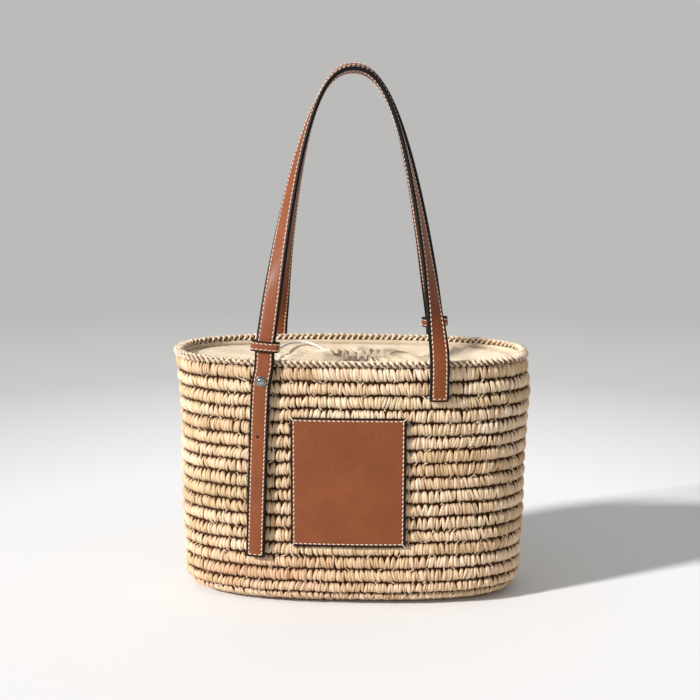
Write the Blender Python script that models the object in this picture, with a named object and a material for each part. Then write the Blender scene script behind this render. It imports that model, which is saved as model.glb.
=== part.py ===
"""Straw basket bag: an oval crochet basket with a gathered cotton collar, two long leather
straps that cross over as shoulder handles, a plain leather patch, keepers and studs.

Metres, +Z up, front at -Y. The origin is under the middle of the bag, where its base rests.
"""
import math

import bmesh
import bpy
import numpy as np

# Basket
RIM_HALF_WIDTH = 0.1540
RIM_HALF_DEPTH = 0.0690
PLAN_ROUNDNESS = 2.57
WALL_TOP = 0.2120
EDGE_RADIUS = 0.0220
ROW_COUNT = 19
RIB_RELIEF = 0.0016
STRAW_WALL = 0.0050
STRAW_FLOOR = 0.0055
BRAID_WIDTH = 0.0072
BRAID_HEIGHT = 0.0062

# Cotton collar and its drawstring
COTTON = 0.0014
COLLAR_DROP = 0.0030
COLLAR_SAG = 0.0050
COLLAR_FOLD_HEIGHT = 0.0042
MOUTH_HALF_WIDTH = 0.0270
MOUTH_HALF_DEPTH = 0.0150
MOUTH_SHIFT = 0.0070
FUNNEL_DEPTH = 0.0110
GATHER_RELIEF = 0.0011
CORD_DIAMETER = 0.0025
KNOT_DIAMETER = 0.0064

# Leather straps
STRAP_WIDTH = 0.0168
STRAP_THICKNESS = 0.0040
STRAP_SPREAD = 0.0730
STRAP_SHIFT = 0.0016
ARCH_HEIGHT = 0.2310
BACK_ARCH_RISE = 0.0035
ARCH_FULLNESS = 2.45
ARCH_FOOT_RISE = 0.0085
TAIL_LENGTH = 0.1670
TAIL_SPLAY = 0.0088
TAIL_CURVE = 0.62
TAIL_STANDOFF = 0.0022
TAB_LENGTH = 0.0280
BEND_LENGTH = 0.0160

# Keepers, studs and the spare hole
KEEPER_BAND = 0.0090
KEEPER_LEATHER = 0.0018
KEEPER_PLAY = 0.0020
KEEPER_CLEARANCE = 0.0006
KEEPER_RISE = 0.0120
STUD_DROP = 0.0110
STUD_HEAD_RADIUS = 0.0048
STUD_HEAD_HEIGHT = 0.0034
STUD_NECK_RADIUS = 0.0017
STUD_BASE_RADIUS = 0.0045
STUD_BASE_THICKNESS = 0.0010
SPARE_HOLE_DROP = 0.0594
SPARE_HOLE_RADIUS = 0.0013

# Leather patch
PATCH_WIDTH = 0.0980
PATCH_HEIGHT = 0.1140
PATCH_LEATHER = 0.0022
PATCH_DROP = 0.0420
PATCH_SHIFT = -0.0010
PATCH_EDGE_BEVEL = 0.0005

# Clearance between pieces that touch on the real bag
GAP = 0.0003

# How finely the round shapes are divided
WALL_COLUMNS = 44
STRAP_SECTIONS = 45
BEND_WEIGHT = 0.06
STUD_SIDES = 12

# Wall sections: height as a share of WALL_TOP, then half width, half depth and sideways lean
# as shares of the rim's half width, half depth and half width.
WALL_SECTIONS = {
    "height": (0.00, 0.10, 0.30, 0.56, 0.70, 0.80, 0.88, 0.95, 1.00),
    "width": (0.978, 0.983, 0.993, 0.995, 0.998, 1.004, 1.010, 1.007, 1.005),
    "depth": (0.945, 0.953, 0.966, 0.974, 0.980, 0.988, 0.997, 1.000, 1.000),
    "lean": (0.000, 0.002, 0.005, 0.004, 0.009, 0.012, 0.011, 0.001, -0.010),
}

# One straw row: share of the row's height, and how far out it stands as a share of the relief.
ROW_PROFILE = ((0.00, -1.0), (0.24, -0.12), (0.76, -0.12))

# Rim braid section, as shares of its half width and its height.
BRAID_SECTION = {
    "across": (-0.60, 0.60, 0.95, 1.00, 0.72, 0.00, -0.72, -1.00, -0.95),
    "up": (0.00, 0.00, 0.18, 0.55, 0.88, 1.00, 0.88, 0.55, 0.18),
}

# Collar sections from the seam to the funnel's end: the way in as a share of the distance from
# the seam to the mouth, the rise as a share of COLLAR_SAG, and the share of the gathers.
COLLAR_SECTIONS = {
    "way_in": (0.00, 0.10, 0.30, 0.55, 0.80, 0.95, 1.00, 0.99),
    "rise": (0.00, 0.12, -0.45, -0.95, -0.35, 0.15, 0.00, 0.00),
    "gathers": (0.00, 0.00, 0.05, 0.25, 0.80, 1.00, 1.00, 0.70),
    "fall": (0.00, 0.00, 0.00, 0.00, 0.00, 0.00, 0.25, 1.00),
}

# Folds of the collar: centre as shares of the rim's half width and half depth, length and
# width as shares of the rim's half depth, turn in degrees, height as a share of the fold height.
COLLAR_FOLDS = {
    "x": (-0.34, -0.19, 0.20, 0.62, 0.70, -0.62, 0.40, -0.40),
    "y": (0.34, -0.06, 0.52, 0.52, 0.30, 0.10, -0.50, -0.52),
    "length": (0.42, 0.26, 0.30, 0.22, 0.34, 0.40, 0.34, 0.30),
    "width": (0.16, 0.12, 0.12, 0.10, 0.13, 0.14, 0.12, 0.12),
    "turn": (28.0, 60.0, 80.0, 70.0, 15.0, -20.0, 100.0, 60.0),
    "height": (1.00, 0.70, 0.55, 0.80, -0.55, 0.60, 0.60, 0.55),
}

# Strap section, as shares of its half width and half thickness: painted round edges and
# slightly domed faces.
STRAP_SECTION = {
    "across": (-1.00, -0.94, -0.50, 0.50, 0.94, 1.00, 1.00, 0.94, 0.50, -0.50, -0.94, -1.00),
    "out": (-0.45, -0.84, -1.00, -1.00, -0.84, -0.45, 0.45, 0.84, 1.00, 1.00, 0.84, 0.45),
}

# How the handle's leather turns its face from the front to the sky and back again, along the
# arch from the tail's foot (0) to the tab's foot (1), in degrees.
ARCH_TWIST = {
    "way": (0.0, 0.03, 0.14, 0.23, 0.35, 0.44, 0.50, 0.56, 0.66, 0.79, 0.86, 0.92, 0.97, 1.0),
    "turn": (0.0, 0.0, 30.0, 48.0, 68.0, 80.0, 86.0, 90.0, 84.0, 68.0, 58.0, 42.0, 18.0, 0.0),
}

# The drawstring's route in millimetres, from the casing beside the mouth to the knot.
CORD_ROUTE = (
    (-20.0, 10.0, 212.2),
    (-25.5, 20.5, 211.2),
    (-30.5, 35.0, 210.6),
    (-37.0, 46.5, 211.2),
    (-45.0, 52.0, 212.4),
    (-53.5, 51.5, 212.6),
    (-60.5, 45.5, 212.0),
    (-65.0, 35.0, 211.2),
    (-68.0, 24.0, 211.0),
)
CORD_POINTS = 28


def material(name, colour, roughness, metallic=0.0):
    """A plain Principled finish."""
    finish = bpy.data.materials.new(name)
    finish.use_nodes = True
    shader = finish.node_tree.nodes["Principled BSDF"]
    shader.inputs["Base Color"].default_value = (*colour, 1.0)
    shader.inputs["Roughness"].default_value = roughness
    shader.inputs["Metallic"].default_value = metallic
    return finish


def add_object(name, vertices, faces, finish, smooth_angle=40.0):
    """Make one closed mesh object with its faces pointing outwards."""
    mesh = bpy.data.meshes.new(name)
    mesh.from_pydata([tuple(vertex) for vertex in vertices], [], faces)
    shell = bmesh.new()
    shell.from_mesh(mesh)
    bmesh.ops.recalc_face_normals(shell, faces=shell.faces)
    shell.to_mesh(mesh)
    shell.free()
    mesh.materials.append(finish)
    mesh.shade_smooth()
    mesh.set_sharp_from_angle(angle=math.radians(smooth_angle))
    piece = bpy.data.objects.new(name, mesh)
    bpy.context.scene.collection.objects.link(piece)
    return piece


def loft(name, rings, finish, closed_both_ways=False):
    """Join equal rings of points: capped at both ends, or joined end to end like a tyre."""
    rings = np.asarray(rings, dtype=float)
    ring_count, side_count = rings.shape[:2]
    faces = []
    for ring in range(ring_count if closed_both_ways else ring_count - 1):
        here = ring * side_count
        there = (ring + 1) % ring_count * side_count
        for side in range(side_count):
            after = (side + 1) % side_count
            faces.append((here + side, here + after, there + after, there + side))
    if not closed_both_ways:
        last = (ring_count - 1) * side_count
        faces.append(tuple(range(side_count)))
        faces.append(tuple(range(last, last + side_count)))
    return add_object(name, rings.reshape(-1, 3), faces, finish)


def slab(name, front, back, finish):
    """A sheet between two equal grids of points, closed along its four borders."""
    rows, columns = front.shape[:2]
    offset = rows * columns
    faces = []
    for row in range(rows - 1):
        for column in range(columns - 1):
            a = row * columns + column
            quad = (a, a + 1, a + columns + 1, a + columns)
            faces.append(quad)
            faces.append(tuple(offset + corner for corner in reversed(quad)))
    top = [column for column in range(columns)]
    right = [row * columns + columns - 1 for row in range(1, rows)]
    bottom = [(rows - 1) * columns + column for column in reversed(range(columns - 1))]
    left = [row * columns for row in reversed(range(1, rows - 1))]
    border = top + right + bottom + left
    for index, corner in enumerate(border):
        after = border[(index + 1) % len(border)]
        faces.append((corner, after, offset + after, offset + corner))
    vertices = np.concatenate([front.reshape(-1, 3), back.reshape(-1, 3)])
    return add_object(name, vertices, faces, finish)


def column_of(table, name, by, share):
    """Read one column of a table at any share of another column."""
    return np.interp(share, table[by], table[name])


def wall_size(height):
    """Half width, half depth and sideways lean of the basket's outside at a height."""
    share = height / WALL_TOP
    half_width = RIM_HALF_WIDTH * column_of(WALL_SECTIONS, "width", "height", share)
    half_depth = RIM_HALF_DEPTH * column_of(WALL_SECTIONS, "depth", "height", share)
    lean = RIM_HALF_WIDTH * column_of(WALL_SECTIONS, "lean", "height", share)
    return half_width, half_depth, lean


def oval(half_width, half_depth, count):
    """Points spaced evenly round |x/a|^n + |y/b|^n = 1, starting at +X."""
    angle = np.linspace(0.0, 2.0 * math.pi, 2881)
    cosine, sine = np.cos(angle), np.sin(angle)
    power = 2.0 / PLAN_ROUNDNESS
    x = half_width * np.sign(cosine) * np.abs(cosine) ** power
    y = half_depth * np.sign(sine) * np.abs(sine) ** power
    travel = np.concatenate([[0.0], np.cumsum(np.hypot(np.diff(x), np.diff(y)))])
    stops = np.linspace(0.0, travel[-1], count, endpoint=False)
    return np.stack([np.interp(stops, travel, x), np.interp(stops, travel, y)], axis=1)


def basket_ring(height, inset, count=WALL_COLUMNS, drawn_at=None):
    """A level ring of the basket, moved in from its outside by an inset."""
    half_width, half_depth, lean = wall_size(height if drawn_at is None else drawn_at)
    ring = oval(half_width - inset, half_depth - inset, count)
    return np.column_stack([ring[:, 0] + lean, ring[:, 1], np.full(count, height)])


def outline(travel, radius):
    """Height and inset at a distance down the wall, which turns under at the foot."""
    straight = WALL_TOP - EDGE_RADIUS
    if travel <= straight:
        return WALL_TOP - travel, 0.0, 0.0
    angle = (travel - straight) / EDGE_RADIUS
    height = EDGE_RADIUS - radius * math.sin(angle)
    return height, EDGE_RADIUS - radius * math.cos(angle), angle


def basket_body(finish):
    """The hollow crochet shell: ribbed rows outside, plain inside, flat base."""
    length = WALL_TOP - EDGE_RADIUS + EDGE_RADIUS * math.pi / 2.0
    pitch = length / ROW_COUNT
    rings = []
    for row in range(ROW_COUNT):
        for share, stand in ROW_PROFILE:
            relief = stand * RIB_RELIEF
            height, inset, angle = outline((row + share) * pitch, EDGE_RADIUS + relief)
            if angle == 0.0:
                inset -= relief
            rings.append(basket_ring(height, inset))
    rings.append(basket_ring(0.0, EDGE_RADIUS))
    rings.reverse()
    inner_radius = EDGE_RADIUS - STRAW_WALL
    for height in (WALL_TOP, 0.95 * WALL_TOP, 0.60 * WALL_TOP, EDGE_RADIUS):
        rings.append(basket_ring(height, STRAW_WALL))
    for share in (0.35, 0.7, 1.0):
        angle = share * math.pi / 2.0
        height = STRAW_FLOOR + (EDGE_RADIUS - STRAW_FLOOR) * (1.0 - math.sin(angle))
        inset = EDGE_RADIUS - inner_radius * math.cos(angle)
        rings.append(basket_ring(height, inset))
    return loft("basket_body", rings, finish)


def rim_braid(finish):
    """The braided edge that sits on the wall's top."""
    foot = WALL_TOP + GAP
    middle = STRAW_WALL / 2.0
    rings = []
    for across, up in zip(BRAID_SECTION["across"], BRAID_SECTION["up"]):
        inset = middle - across * BRAID_WIDTH / 2.0
        rings.append(basket_ring(foot + up * BRAID_HEIGHT, inset, drawn_at=WALL_TOP))
    return loft("rim_braid", rings, finish, closed_both_ways=True)


def fold_height(x, y):
    """Height of the collar's loose folds at a point, as a sum of long soft humps."""
    total = np.zeros_like(x)
    for index in range(len(COLLAR_FOLDS["x"])):
        fold = {name: column[index] for name, column in COLLAR_FOLDS.items()}
        turn = math.radians(fold["turn"])
        away_x = x - fold["x"] * RIM_HALF_WIDTH
        away_y = y - fold["y"] * RIM_HALF_DEPTH
        along = (away_x * math.cos(turn) + away_y * math.sin(turn)) / (fold["length"] * RIM_HALF_DEPTH)
        across = (away_y * math.cos(turn) - away_x * math.sin(turn)) / (fold["width"] * RIM_HALF_DEPTH)
        total += fold["height"] * np.exp(-along ** 2 - across ** 2)
    return COLLAR_FOLD_HEIGHT * total


def drawstring_collar(finish):
    """The cotton top: sewn round inside the rim, gathered to a small mouth by its drawstring."""
    seam_height = WALL_TOP - COLLAR_DROP
    seam = basket_ring(seam_height, STRAW_WALL + GAP, WALL_COLUMNS)
    mouth = oval(MOUTH_HALF_WIDTH, MOUTH_HALF_DEPTH, WALL_COLUMNS)
    mouth[:, 0] += MOUTH_SHIFT
    gather = np.where(np.arange(WALL_COLUMNS) % 2 == 0, 1.0, -1.0)
    out = mouth - np.array([MOUTH_SHIFT, 0.0])
    out /= np.linalg.norm(out, axis=1, keepdims=True)
    top, under = [], []
    for way, rise, gathers, fall in zip(*COLLAR_SECTIONS.values()):
        level = seam[:, :2] * (1.0 - way) + mouth * way
        swell = gathers * GATHER_RELIEF * gather
        loose = 4.0 * way * (1.0 - way) if fall == 0.0 else 0.0
        height = seam_height + rise * COLLAR_SAG - fall * FUNNEL_DEPTH
        height = height + loose * fold_height(level[:, 0], level[:, 1])
        if fall == 0.0:
            top.append(np.column_stack([level, height + swell]))
            under.append(np.column_stack([level, height + swell - COTTON]))
        else:
            inner = level + swell[:, None] * out
            outer = inner + COTTON * out
            top.append(np.column_stack([inner, np.broadcast_to(height, WALL_COLUMNS)]))
            lower = height - COTTON * (1.0 if fall < 1.0 else 0.0)
            under.append(np.column_stack([outer, np.broadcast_to(lower, WALL_COLUMNS)]))
    rings = top + under[::-1]
    return loft("drawstring_collar", rings, finish, closed_both_ways=True)


def smooth_route(knots, count):
    """Evenly spaced points on a Catmull-Rom curve through the knots."""
    knots = np.asarray(knots, dtype=float)
    ends = np.vstack([2.0 * knots[0] - knots[1], knots, 2.0 * knots[-1] - knots[-2]])
    dense = []
    for index in range(1, len(ends) - 2):
        before, start, end, after = ends[index - 1:index + 3]
        for share in np.linspace(0.0, 1.0, 24, endpoint=False):
            dense.append(0.5 * (2.0 * start + (end - before) * share
                                + (2.0 * before - 5.0 * start + 4.0 * end - after) * share ** 2
                                + (3.0 * start - before - 3.0 * end + after) * share ** 3))
    dense.append(knots[-1])
    return even_spacing(np.array(dense), count)


def even_spacing(points, count):
    """Points at equal distances along a line of points."""
    steps = np.linalg.norm(np.diff(points, axis=0), axis=1)
    travel = np.concatenate([[0.0], np.cumsum(steps)])
    stops = np.linspace(0.0, travel[-1], count)
    return np.column_stack([np.interp(stops, travel, points[:, axis]) for axis in range(3)])


def drawstring(finish):
    """The thin cotton cord that lies on the collar, from its casing to its knot."""
    route = smooth_route(np.array(CORD_ROUTE) / 1000.0, CORD_POINTS)
    curve = bpy.data.curves.new("drawstring", "CURVE")
    curve.dimensions = "3D"
    curve.bevel_depth = CORD_DIAMETER / 2.0
    curve.bevel_resolution = 2
    curve.use_fill_caps = True
    spline = curve.splines.new("POLY")
    spline.points.add(len(route) - 1)
    for point, place in zip(spline.points, route):
        point.co = (*place, 1.0)
    curve.materials.append(finish)
    cord = bpy.data.objects.new("drawstring", curve)
    bpy.context.scene.collection.objects.link(cord)
    return route


def drawstring_knot(route, finish):
    """The overhand knot at the drawstring's end, face to face with the cord."""
    heading = route[-1] - route[-2]
    heading /= np.linalg.norm(heading)
    radius = KNOT_DIAMETER / 2.0
    centre = route[-1] + heading * (radius * 0.9 + GAP)
    side = np.cross(heading, (0.0, 0.0, 1.0))
    side /= np.linalg.norm(side)
    lift = np.cross(side, heading)
    rings = []
    for along, size in ((-0.9, 0.44), (-0.5, 0.87), (0.0, 1.0), (0.5, 0.87), (0.9, 0.44)):
        turn = np.linspace(0.0, 2.0 * math.pi, 10, endpoint=False)
        spoke = np.outer(np.cos(turn), side) + np.outer(np.sin(turn), lift)
        rings.append(centre + along * radius * heading + size * radius * spoke)
    return loft("drawstring_knot", rings, finish)


def front_wall(x, height, back=False):
    """Y of the straw's crests on the bag's front at x, and the wall's outward normal there.

    For the back it answers for the bag turned half round, whose lean has the other sign.
    """
    half_width, half_depth, lean = wall_size(height)
    lean = -lean if back else lean
    across = abs(x - lean) / half_width
    reach = (1.0 - across ** PLAN_ROUNDNESS) ** (1.0 / PLAN_ROUNDNESS)
    normal = np.array([
        math.copysign(across ** (PLAN_ROUNDNESS - 1.0) / half_width, x - lean),
        -(reach ** (PLAN_ROUNDNESS - 1.0)) / half_depth,
        0.0,
    ])
    return -half_depth * reach, normal / np.linalg.norm(normal)


def seat_on_front(x, height, standoff, back):
    """A strap's centre in front of the straw's crests, with its flat back at the standoff."""
    y, normal = front_wall(x, height, back)
    return np.array([x, y, height]) + normal * (standoff + STRAP_THICKNESS / 2.0), normal


def rounded(points, length):
    """Ease a line's corners: each point becomes the mean of the line near it."""
    steps = np.linalg.norm(np.diff(points, axis=0), axis=1)
    travel = np.concatenate([[0.0], np.cumsum(steps)])
    result = points.copy()
    for shift in np.linspace(-0.5, 0.5, 9):
        room = np.minimum(length, 2.0 * np.minimum(travel, travel[-1] - travel))
        stops = travel + shift * room
        moved = [np.interp(stops, travel, points[:, axis]) for axis in range(3)]
        result += np.column_stack(moved)
    return result / 10.0


def eased(values, travel, length):
    """Each value becomes the mean of the values within a length along the line."""
    shifts = np.linspace(-0.5, 0.5, 9) * length
    return np.mean([np.interp(travel + shift, travel, values) for shift in shifts], axis=0)


def section_stops(route):
    """Where the strap's sections lie: evenly along it, and closer together where it bends."""
    turned = np.linalg.norm(np.diff(route["tangent"], axis=0), axis=1)
    effort = np.diff(route["travel"]) + BEND_WEIGHT * turned
    spent = np.concatenate([[0.0], np.cumsum(effort)])
    return np.interp(np.linspace(0.0, spent[-1], STRAP_SECTIONS), spent, route["travel"])


def tail_x(height, foot_height, sideways):
    """The tail's sideways place at a height: it splays out quickly, then hangs straighter."""
    way = (foot_height - height) / (foot_height - WALL_TOP + TAIL_LENGTH)
    return sideways - STRAP_SPREAD - TAIL_SPLAY * way ** TAIL_CURVE


def strap_route(back):
    """Centre line, face normals and the stations of a strap, from its tail's end to its tab.

    The tail hangs down the front on the left, the arch is z = height * (1 - |x / spread| ^ n)
    in a plane that leans back to the bag's middle, and the tab runs down on the right. Both
    straps sit a little towards the bag's right, so the back one is shifted the other way here.
    """
    arch_height = ARCH_HEIGHT + (BACK_ARCH_RISE if back else 0.0)
    sideways = -STRAP_SHIFT if back else STRAP_SHIFT
    foot_height = WALL_TOP + GAP + BRAID_HEIGHT + ARCH_FOOT_RISE
    over_braid = (BRAID_WIDTH - STRAW_WALL) / 2.0 + GAP
    left_x, right_x = sideways - STRAP_SPREAD, sideways + STRAP_SPREAD
    left_top, left_normal = seat_on_front(left_x, WALL_TOP, over_braid, back)
    right_top, right_normal = seat_on_front(right_x, WALL_TOP, over_braid, back)
    foot_y = min(left_top[1], right_top[1])

    middle_y = -(math.hypot(STRAP_WIDTH, STRAP_THICKNESS) + GAP) / 2.0
    tilt = math.atan2(middle_y - foot_y, arch_height)
    across = np.sin(np.linspace(-1.0, 1.0, 161) * math.pi / 2.0)
    rise = 1.0 - np.abs(across) ** ARCH_FULLNESS
    arch = np.column_stack([
        STRAP_SPREAD * across + sideways * (1.0 - rise),
        foot_y + (middle_y - foot_y) * rise,
        foot_height + arch_height * rise,
    ])

    tail = []
    for height in np.linspace(WALL_TOP - TAIL_LENGTH, WALL_TOP - STUD_DROP, 12):
        way = (height - WALL_TOP + TAIL_LENGTH) / (TAIL_LENGTH - STUD_DROP)
        standoff = TAIL_STANDOFF * (1.0 - way) + (STUD_BASE_THICKNESS + 2.0 * GAP) * way
        tail.append(seat_on_front(tail_x(height, foot_height, sideways), height, standoff, back)[0])
    tail_top = np.array([left_x, min(left_top[1], tail[-1][1]), WALL_TOP])
    tab_end = seat_on_front(right_x, WALL_TOP - TAB_LENGTH, GAP, back)[0]
    left = np.vstack([tail, tail_top])
    right = np.array([right_top, tab_end])
    line = np.vstack([even_spacing(left, 60), arch, even_spacing(right, 20)])
    line = rounded(even_spacing(line, 500), BEND_LENGTH)
    centres = even_spacing(line, 500)

    steps = np.linalg.norm(np.diff(centres, axis=0), axis=1)
    travel = np.concatenate([[0.0], np.cumsum(steps)])
    tangent = np.gradient(centres, travel, axis=0)
    tangent /= np.linalg.norm(tangent, axis=1, keepdims=True)
    climb = np.clip((centres[:, 2] - WALL_TOP) / (4.0 * BEND_LENGTH), 0.0, 1.0)[:, None]
    side = np.where(centres[:, :1] < 0.0, left_normal, right_normal)
    leaning = np.array([0.0, -math.cos(tilt), math.sin(tilt)])
    facing = side * (1.0 - climb) + leaning * climb
    facing -= np.sum(facing * tangent, axis=1, keepdims=True) * tangent
    facing /= np.linalg.norm(facing, axis=1, keepdims=True)
    outward = np.cross(facing, tangent)

    above = np.flatnonzero(centres[:, 2] > foot_height)
    first, last = travel[above[0]], travel[above[-1]]
    way = (travel - first) / (last - first)
    turn = np.radians(np.interp(way, ARCH_TWIST["way"], ARCH_TWIST["turn"]))
    twist = eased(turn, travel, BEND_LENGTH)[:, None]
    normal = np.cos(twist) * facing + np.sin(twist) * outward
    width = np.cross(tangent, normal)
    return {"centre": centres, "tangent": tangent, "normal": normal, "width": width, "travel": travel}


def station(route, height, left=True):
    """The strap's centre and its three directions where it passes a height on one side."""
    index_of_apex = int(np.argmax(route["centre"][:, 2]))
    part = slice(0, index_of_apex) if left else slice(index_of_apex, None)
    heights = route["centre"][part, 2]
    nearest = int(np.argmin(np.abs(heights - height)))
    return {name: route[name][part][nearest] for name in ("centre", "tangent", "normal", "width")}


def turned_to_back(vertices):
    """The same shape on the bag's back: half a turn about the bag's axis."""
    return np.asarray(vertices) * np.array([-1.0, -1.0, 1.0])


def place(points, back):
    """Leave a shape on the front, or turn it to the back."""
    return turned_to_back(points) if back else np.asarray(points)


def cutter(name, centre, axis, radius, length):
    """A round punch through the strap, used only by the strap's own Boolean."""
    start = centre - axis * length / 2.0
    side = np.cross(axis, (0.0, 0.0, 1.0))
    side /= np.linalg.norm(side)
    lift = np.cross(axis, side)
    turn = np.linspace(0.0, 2.0 * math.pi, 12, endpoint=False)
    spoke = radius * (np.outer(np.cos(turn), side) + np.outer(np.sin(turn), lift))
    punch = loft(name, [start + spoke, start + axis * length + spoke], None)
    punch.hide_render = True
    punch.display_type = "WIRE"
    return punch


def strap(name, route, back, finish):
    """One strap: long tail, twisted handle arch and short tab, with its punched holes."""
    rings = []
    for stop in section_stops(route):
        at = {key: np.array([np.interp(stop, route["travel"], route[key][:, axis]) for axis in range(3)])
              for key in ("centre", "normal", "width")}
        across = np.outer(np.array(STRAP_SECTION["across"]) * STRAP_WIDTH / 2.0, at["width"])
        out = np.outer(np.array(STRAP_SECTION["out"]) * STRAP_THICKNESS / 2.0, at["normal"])
        rings.append(at["centre"] + across + out)
    piece = loft(name, place(rings, back), finish)
    holes = (
        ("stud_hole", WALL_TOP - STUD_DROP, STUD_NECK_RADIUS + GAP),
        ("spare_hole", WALL_TOP - SPARE_HOLE_DROP, SPARE_HOLE_RADIUS),
    )
    for label, height, radius in holes:
        at = station(route, height)
        centre, axis = place(at["centre"], back), place(at["normal"], back)
        punch = cutter(f"{name}_{label}_punch", centre, axis, radius, 3.0 * STRAP_THICKNESS)
        cut = piece.modifiers.new(label, "BOOLEAN")
        cut.operation = "DIFFERENCE"
        cut.solver = "EXACT"
        cut.object = punch
    return piece


def keeper(name, route, back, finish):
    """The leather loop round the strap, just above the rim."""
    height = WALL_TOP + GAP + BRAID_HEIGHT + KEEPER_RISE
    at = station(route, height)
    inner_width = STRAP_WIDTH / 2.0 + KEEPER_PLAY
    inner_depth = STRAP_THICKNESS / 2.0 + KEEPER_CLEARANCE
    turn = np.linspace(0.0, 2.0 * math.pi, 20, endpoint=False) + math.pi / 20.0
    cosine, sine = np.cos(turn), np.sin(turn)
    section = ((0.0, -0.5), (1.0, -0.5), (1.0, 0.5), (0.0, 0.5))
    rings = []
    for out, up in section:
        half_width = inner_width + out * KEEPER_LEATHER
        half_depth = inner_depth + out * KEEPER_LEATHER
        squareness = 2.0 / 7.0
        across = half_width * np.sign(cosine) * np.abs(cosine) ** squareness
        deep = half_depth * np.sign(sine) * np.abs(sine) ** squareness
        level = at["centre"] + up * KEEPER_BAND * at["tangent"]
        rings.append(level + np.outer(across, at["width"]) + np.outer(deep, at["normal"]))
    return loft(name, place(rings, back), finish, closed_both_ways=True)


def stud(name, route, back, finish):
    """A domed stud: base disc behind the strap, neck through its hole, head in front."""
    at = station(route, WALL_TOP - STUD_DROP)
    behind = -STRAP_THICKNESS / 2.0 - GAP
    front = STRAP_THICKNESS / 2.0 + GAP
    profile = (
        (STUD_BASE_RADIUS, behind - STUD_BASE_THICKNESS),
        (STUD_BASE_RADIUS, behind),
        (STUD_NECK_RADIUS, behind),
        (STUD_NECK_RADIUS, front),
        (STUD_HEAD_RADIUS * 0.86, front),
        (STUD_HEAD_RADIUS, front + STUD_HEAD_HEIGHT * 0.24),
        (STUD_HEAD_RADIUS * 0.88, front + STUD_HEAD_HEIGHT * 0.62),
        (STUD_HEAD_RADIUS * 0.56, front + STUD_HEAD_HEIGHT * 0.90),
        (STUD_HEAD_RADIUS * 0.18, front + STUD_HEAD_HEIGHT),
    )
    turn = np.linspace(0.0, 2.0 * math.pi, STUD_SIDES, endpoint=False)
    spoke = np.outer(np.cos(turn), at["width"]) + np.outer(np.sin(turn), at["tangent"])
    rings = [at["centre"] + out * at["normal"] + radius * spoke for radius, out in profile]
    return loft(name, place(rings, back), finish)


def front_patch(finish):
    """The plain leather patch, bent to the basket's front and lying on the straw's crests."""
    columns = np.linspace(-0.5, 0.5, 11)
    heights = WALL_TOP - PATCH_DROP - PATCH_HEIGHT * np.linspace(0.0, 1.0, 7)
    back = np.zeros((len(heights), len(columns), 3))
    front = np.zeros_like(back)
    for row, height in enumerate(heights):
        for column, share in enumerate(columns):
            x = PATCH_SHIFT + share * PATCH_WIDTH
            y, normal = front_wall(x, height)
            crest = np.array([x, y, height])
            back[row, column] = crest + normal * GAP
            front[row, column] = crest + normal * (GAP + PATCH_LEATHER)
    piece = slab("front_patch", front, back, finish)
    edge = piece.modifiers.new("painted_edge", "BEVEL")
    edge.width = PATCH_EDGE_BEVEL
    edge.segments = 1
    edge.limit_method = "ANGLE"
    edge.angle_limit = math.radians(60.0)
    return piece


def build():
    """Clear the scene and make every piece of the bag."""
    for old in list(bpy.data.objects):
        bpy.data.objects.remove(old, do_unlink=True)
    straw = material("straw", (0.62, 0.46, 0.27), 0.75)
    cotton = material("cotton", (0.82, 0.70, 0.56), 0.9)
    leather = material("leather", (0.34, 0.115, 0.045), 0.45)
    chrome = material("chrome", (0.80, 0.80, 0.82), 0.12, 1.0)

    basket_body(straw)
    rim_braid(straw)
    drawstring_collar(cotton)
    cord_line = drawstring(cotton)
    drawstring_knot(cord_line, cotton)
    front_patch(leather)
    for side, back in (("front", False), ("back", True)):
        route = strap_route(back)
        strap(f"{side}_strap", route, back, leather)
        keeper(f"{side}_keeper", route, back, leather)
        stud(f"{side}_stud", route, back, chrome)


build()
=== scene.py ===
# %% [markdown]
# # A straw basket bag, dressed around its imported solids
# The solids already hold every size and place of the bag. This lesson loads them as a fixed
# frame and then makes each visible surface in turn: raffia loops, cotton, leather, thread and
# metal. Nothing is moved or resized, and every new piece sits where its solid says.

# %% Load the frame
import math

import bpy
import numpy as np
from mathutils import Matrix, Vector


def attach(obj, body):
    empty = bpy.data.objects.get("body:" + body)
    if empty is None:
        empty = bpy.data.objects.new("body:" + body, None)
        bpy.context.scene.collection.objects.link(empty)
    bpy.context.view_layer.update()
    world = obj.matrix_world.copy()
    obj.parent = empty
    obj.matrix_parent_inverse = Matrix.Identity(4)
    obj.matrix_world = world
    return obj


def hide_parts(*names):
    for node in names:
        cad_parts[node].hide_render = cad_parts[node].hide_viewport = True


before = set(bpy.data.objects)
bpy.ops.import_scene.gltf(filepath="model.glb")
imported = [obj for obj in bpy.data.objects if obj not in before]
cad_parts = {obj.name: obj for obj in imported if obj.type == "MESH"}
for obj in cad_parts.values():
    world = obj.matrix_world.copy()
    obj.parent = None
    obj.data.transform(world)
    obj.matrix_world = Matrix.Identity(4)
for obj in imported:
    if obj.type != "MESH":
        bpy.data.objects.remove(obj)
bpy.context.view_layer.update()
rng = np.random.default_rng(27)

# %% [markdown]
# ## The camera first
# The camera comes before any piece, because what it frames decides where detail is needed. A
# photograph fixes a camera by a few numbers: its place, how far it looks down and aside, and its
# focal length in pixels. A sensor of 36 mm turns those pixels into millimetres.

# %% Camera
IMAGE_PX = 700.0
FOCAL_PX = 1360.15
AXIS_PX = 353.66
CAMERA_PLACE = (0.03706, -1.18115, 0.43774)
CAMERA_TURN, CAMERA_PITCH, CAMERA_ROLL = (math.radians(d) for d in (1.797, 10.668, -0.243))


def add_object(name, data):
    """Put new data into the scene as an object at the origin."""
    made = bpy.data.objects.new(name, data)
    bpy.context.scene.collection.objects.link(made)
    return made


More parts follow.
